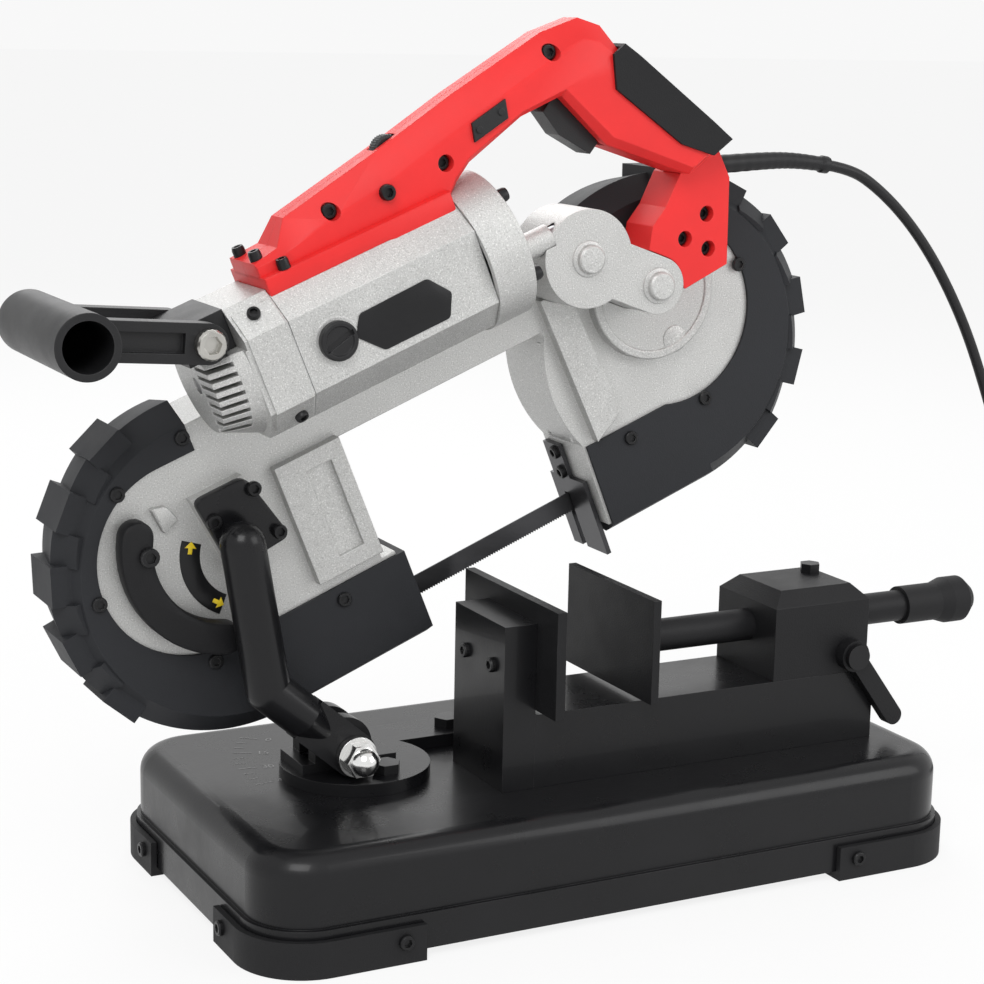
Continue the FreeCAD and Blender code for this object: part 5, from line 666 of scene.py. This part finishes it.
LABEL_MIDDLE = Vector((27, -11))
LABEL_OUTER, LABEL_INNER, ARROW_REACH = 37.5, 25.5, 31.5
LABEL_TOP, LABEL_FOOT, LABEL_STEPS = 142, 226, 14
LABEL_FACES, ARROW_FACES = (0.1, -0.5), (-0.4, -0.62)
ARROW = [(-1.3, -3), (1.3, -3), (1.3, 0.5), (3.6, 0.5), (0, 4.5), (-3.6, 0.5), (-1.3, 0.5)]
label = bmesh.new()
slab(label, arc(LABEL_MIDDLE, LABEL_OUTER, LABEL_TOP, LABEL_FOOT, LABEL_STEPS)
     + arc(LABEL_MIDDLE, LABEL_INNER, LABEL_FOOT, LABEL_TOP, LABEL_STEPS), *LABEL_FACES, chamfer=0.2)
piece("lever_label", label, "black_plastic", look=LOOKS["screw_steel"])
arrows = bmesh.new()
for angle, way in ((149, -1), (219, 1)):
    out = polar(1.0, angle)
    along = Vector((-out.y, out.x)) * way
    sideways = Vector((along.y, -along.x))
    foot = LABEL_MIDDLE + out * ARROW_REACH
    slab(arrows, [foot + sideways * a + along * b for a, b in ARROW], *ARROW_FACES, chamfer=0.05)
piece("label_arrows", arrows, "black_plastic", look=LOOKS["yellow_print"])

# Tension lever: a thick curved handle with rounded edges and half-round ends
LEVER_MIDDLE = Vector((20, 2))
LEVER_REACH, LEVER_HALF = 55.5, 9.5
LEVER_TOP, LEVER_TIP = 150, 245
LEVER_STEPS = 16
LEVER_FACES = (-5.2, -16.0)
lever_top, lever_tip = (LEVER_MIDDLE + polar(LEVER_REACH, angle) for angle in (LEVER_TOP, LEVER_TIP))
lever = bmesh.new()
slab(lever, arc(LEVER_MIDDLE, LEVER_REACH + LEVER_HALF, LEVER_TOP, LEVER_TIP, LEVER_STEPS)
     + arc(lever_tip, LEVER_HALF, LEVER_TIP, LEVER_TIP + 180, LEVER_STEPS)[1:-1]
     + arc(LEVER_MIDDLE, LEVER_REACH - LEVER_HALF, LEVER_TIP, LEVER_TOP, LEVER_STEPS)
     + arc(lever_top, LEVER_HALF, LEVER_TOP + 180, LEVER_TOP + 360, LEVER_STEPS)[1:-1],
     *LEVER_FACES, chamfer=3.0)
piece("tension_handle", lever, "black_cast", body="tension_lever", replaces=("tension_lever",))

# Arm plate with rounded corners and a pressed edge
ARM_PLATE = [(9, 33.5), (42, 33.5), (54, -10.5), (15, -13.5)]
ARM_PLATE_FACES = (-8.0, -14.0)
arm = bmesh.new()
slab(arm, rounded(ARM_PLATE, 6), *ARM_PLATE_FACES, chamfer=1.0)
piece("arm_plate_face", arm, "black_steel", replaces=("arm_plate",))

# Castings: ring and axle plug on the raised disc, stepped bosses on the gear cover, a nub by the left neck,
# a pad over the vent cap's front slots, and ribs on the walls of the throat
DISC_AT = (325, -7.8, 19)
DISC_RING = [(41.8, 0.0), (41.8, 0.7), (41.0, 1.2), (37.4, 1.2), (36.6, 0.7), (36.6, 0.0)]
AXLE_AT = (329, -7.6, -15)
AXLE_PLUG = [(8.3, 0.0), (8.3, 0.55), (8.0, 0.7), (0.5, 0.7)]
COVER_BOSSES = [(274.9, -39.8, 66.2), (313, -39.8, 31.9)]
COVER_BOSS = [(11.0, 0.0), (10.6, 0.9), (8.6, 1.5), (8.4, 4.4), (7.4, 5.4), (0.6, 5.7)]
NUB = [(-13, 38), (-4, 36), (0, 25), (-11, 21)]
NUB_FACES = (0.3, -4.0)
CAP_PAD = [(-59.9, 133.4), (-72.2, 121.0), (-72.2, 77.0), (-59.9, 64.6), (-58.6, 65.9), (-70.4, 77.8),
           (-70.4, 120.2), (-58.6, 132.1)]
CAP_PAD_ENDS = (55.0, 78.5)
THROAT_WALLS = [(247.4, 250.4), (103.6, 106.6)]
THROAT_NEAR, THROAT_FAR = 4.0, 39.0
THROAT_LOW, THROAT_TOP = -50, 18
RIB_LOWS, RIB_WIDTH, RIB_EDGE = (8, -12, -32), 3, 3.5
casts = bmesh.new()
lathe(casts, DISC_AT, NEAR, DISC_RING, sides=96)
lathe(casts, AXLE_AT, NEAR, AXLE_PLUG)
for at in COVER_BOSSES:
    lathe(casts, at, NEAR, COVER_BOSS)
slab(casts, rounded(NUB, 2.0), *NUB_FACES, chamfer=1.2)
ring_faces(casts, [[casts.verts.new((u, y, w)) for y, w in CAP_PAD] for u in CAP_PAD_ENDS])
for inner, outer in THROAT_WALLS:
    for low in RIB_LOWS:
        slab(casts, rectangle(inner, outer, low, low + RIB_WIDTH), THROAT_FAR, THROAT_NEAR)
    for back, front in ((THROAT_NEAR + RIB_EDGE, THROAT_NEAR), (THROAT_FAR, THROAT_FAR - RIB_EDGE)):
        slab(casts, rectangle(inner, outer, THROAT_LOW, THROAT_TOP), back, front)
piece("cast_details", casts, "cast_alloy")

# Bumpers: sloping facets between the nubs, over the cone and the back
BUMPER_PROFILE = [(90.0, -1.0), (94.6, 4.6), (101.0, 12.0), (99.6, 21.0), (97.6, 34.0), (95.6, 46.0)]
BUMPERS = [  # piece, middle (u, w), angles of the nubs
    ("left_facets", (18, -15), [112, 136, 160, 184, 208]),
    ("right_facets", (329, -15), [-62, -36, -10, 16, 42, 68])]
NUB_HALF = 6.3
FACET_STEPS = 6
FACET_RISE, FACET_FALL, FACET_SUNK = 2.8, 1.8, -0.6
FACET_LEAN = 0.45


def facet(shape, middle, start, end):
    """Closed wedge over the bumper between two nubs, thick at its start."""
    def skin(rises):
        rows = []
        for k, rise in enumerate(rises):
            turn = math.radians(start + NUB_HALF + (end - start - 2 * NUB_HALF) * k / FACET_STEPS)
            rows.append([shape.verts.new((middle[0] + (radius + rise) * math.cos(turn),
                                          y - FACET_LEAN * rise,
                                          middle[1] + (radius + rise) * math.sin(turn)))
                         for radius, y in BUMPER_PROFILE])
        return rows

    low = skin([FACET_SUNK] * (FACET_STEPS + 1))
    high = skin([FACET_RISE - FACET_FALL * k / FACET_STEPS for k in range(FACET_STEPS + 1)])
    last = len(BUMPER_PROFILE) - 1
    for k in range(FACET_STEPS):
        for j in range(last):
            shape.faces.new((high[k][j], high[k][j + 1], high[k + 1][j + 1], high[k + 1][j]))
            shape.faces.new((low[k][j], low[k + 1][j], low[k + 1][j + 1], low[k][j + 1]))
        for j in (0, last):
            shape.faces.new((low[k][j], high[k][j], high[k + 1][j], low[k + 1][j]))
    for k in (0, FACET_STEPS):
        for j in range(last):
            shape.faces.new((low[k][j], low[k][j + 1], high[k][j + 1], high[k][j]))


for name, middle, nubs in BUMPERS:
    facets = bmesh.new()
    for start, end in zip(nubs, nubs[1:]):
        facet(facets, middle, start, end)
    piece(name, facets, "bumper_rubber")

# Mitre scale on the base: a tick for every five degrees of mitre and a number for every fifteen
SCALE_MIDDLE = Vector((-67, 17))
SCALE_START, SCALE_STEP, SCALE_TICKS = 144, 4.7, 10
TICKS_PER_NUMBER, MITRE_PER_TICK = 3, 5
TICK_HALF, TICK_END, LONG_TICK, SHORT_TICK = 0.35, 122, 111, 116
TICK_HEIGHTS = (66.9, 67.12)
NUMBER_REACH, NUMBER_SIZE, NUMBER_RISE = 104, 8.0, 0.1
BASE_TOP = 67.0


def number_shape(words, at, turn):
    """Raised figures on the base."""
    text = bpy.data.curves.new("figures", "FONT")
    text.body = words
    text.size = NUMBER_SIZE
    text.extrude = NUMBER_RISE
    text.align_x = "CENTER"
    text.align_y = "CENTER"
    mesh = mesh_of(text)
    shape = bmesh.new()
    shape.from_mesh(mesh)
    bpy.data.meshes.remove(mesh)
    shape.transform(Matrix.Translation((*at, BASE_TOP)) @ Matrix.Rotation(turn, 4, "Z"))
    return shape


ticks = bmesh.new()
for step in range(SCALE_TICKS):
    out = polar(1.0, SCALE_START + SCALE_STEP * step)
    sideways = Vector((-out.y, out.x)) * TICK_HALF
    inner = SCALE_MIDDLE + out * (SHORT_TICK if step % TICKS_PER_NUMBER else LONG_TICK)
    outer = SCALE_MIDDLE + out * TICK_END
    corners = [inner + sideways, inner - sideways, outer - sideways, outer + sideways]
    ring_faces(ticks, [[ticks.verts.new((*corner, height)) for corner in corners] for height in TICK_HEIGHTS])
piece("scale_ticks", ticks, "black_steel", body="base", place=STAND, look=LOOKS["pale_print"])
for step in range(0, SCALE_TICKS, TICKS_PER_NUMBER):
    angle = SCALE_START + SCALE_STEP * step
    words = str(MITRE_PER_TICK * step)
    figures = number_shape(words, SCALE_MIDDLE + polar(NUMBER_REACH, angle), math.radians(angle - 180))
    piece(f"scale_number_{words}", figures, "black_steel", body="base", place=STAND,
          look=LOOKS["pale_print"])

# Floor, light and camera
WHITE = (1.0, 1.0, 1.0, 1.0)
PALE = 0.94
FLOOR_GLOW = 0.84
FLOOR_HALF, FLOOR_DROP = 30.0, -0.0003
WORLD_LIGHT = 0.5
LAMPS = [  # name, place, size, power
    ("key", (-1.1, -1.5, 1.9), 1.3, 30.0), ("fill", (1.3, -1.4, 1.1), 1.2, 11.0),
    ("rim", (0.4, 1.5, 1.7), 1.4, 17.0)]
LOOK_AT = Vector((0.0, 0.0, 0.22))
CAMERA_AT = Vector((-0.6465, -1.1611, 0.5070))
YAW, DOWN, ROLL = (math.radians(angle) for angle in (27.64, 11.89, 1.19))
SENSOR, LENS = 36.0, 81.73


def seen(tree):
    """1 where a surface is seen, straight or in metal or glass, and 0 where it lights others."""
    rays = add(tree, "LightPath", {}).outputs
    some = add(tree, "Math", {0: rays["Is Camera Ray"], 1: rays["Is Glossy Ray"]}, operation="ADD")
    return add(tree, "Math", {0: some.outputs["Value"], 1: rays["Is Transmission Ray"]}, operation="ADD",
               use_clamp=True).outputs["Value"]


floor_look, floor_tree, floor_shader = blank("studio_floor")
floor_shader.inputs["Base Color"].default_value = (PALE, PALE, PALE, 1.0)
floor_shader.inputs["Roughness"].default_value = 0.9
glow_share = add(floor_tree, "Math", {0: seen(floor_tree), 1: FLOOR_GLOW}, operation="MULTIPLY")
glow = add(floor_tree, "Emission", {"Color": WHITE, "Strength": 1.0})
floor_mix = add(floor_tree, "MixShader", {0: glow_share.outputs["Value"], 1: floor_shader.outputs["BSDF"],
                                          2: glow.outputs["Emission"]})
floor_tree.links.new(floor_mix.outputs["Shader"], floor_tree.nodes["Material Output"].inputs["Surface"])
floor_shape = bmesh.new()
bmesh.ops.create_grid(floor_shape, x_segments=2, y_segments=2, size=FLOOR_HALF)
floor_mesh = bpy.data.meshes.new("studio_floor")
floor_shape.to_mesh(floor_mesh)
floor_shape.free()
floor_mesh.materials.append(floor_look)
floor = bpy.data.objects.new("studio_floor", floor_mesh)
floor.location.z = FLOOR_DROP
bpy.context.collection.objects.link(floor)

world = bpy.data.worlds.new("studio")
bpy.context.scene.world = world
world.use_nodes = True
background = world.node_tree.nodes["Background"]
background.inputs["Color"].default_value = WHITE
world_strength = ramp(world.node_tree, seen(world.node_tree), 0.0, 1.0, WORLD_LIGHT, PALE)
world.node_tree.links.new(world_strength, background.inputs["Strength"])
for name, place, size, power in LAMPS:
    lamp = bpy.data.lights.new(name, "AREA")
    lamp.size = size
    lamp.energy = power
    holder = bpy.data.objects.new(name, lamp)
    holder.location = place
    holder.rotation_euler = (LOOK_AT - Vector(place)).to_track_quat("-Z", "Y").to_euler()
    bpy.context.collection.objects.link(holder)

ahead = Vector((math.sin(YAW) * math.cos(DOWN), math.cos(YAW) * math.cos(DOWN), -math.sin(DOWN)))
right = Vector((math.cos(YAW), -math.sin(YAW), 0.0))
up = right.cross(ahead)
across = right * math.cos(ROLL) + up * math.sin(ROLL)
upright = up * math.cos(ROLL) - right * math.sin(ROLL)
camera_data = bpy.data.cameras.new("camera")
camera_data.sensor_width = SENSOR
camera_data.lens = LENS
camera_data.clip_end = 100.0
camera = bpy.data.objects.new("camera", camera_data)
camera.matrix_world = Matrix.Translation(CAMERA_AT) @ Matrix((across, upright, -ahead)).transposed().to_4x4()
bpy.context.collection.objects.link(camera)
bpy.context.scene.camera = camera
bpy.context.scene.view_settings.view_transform = "Standard"
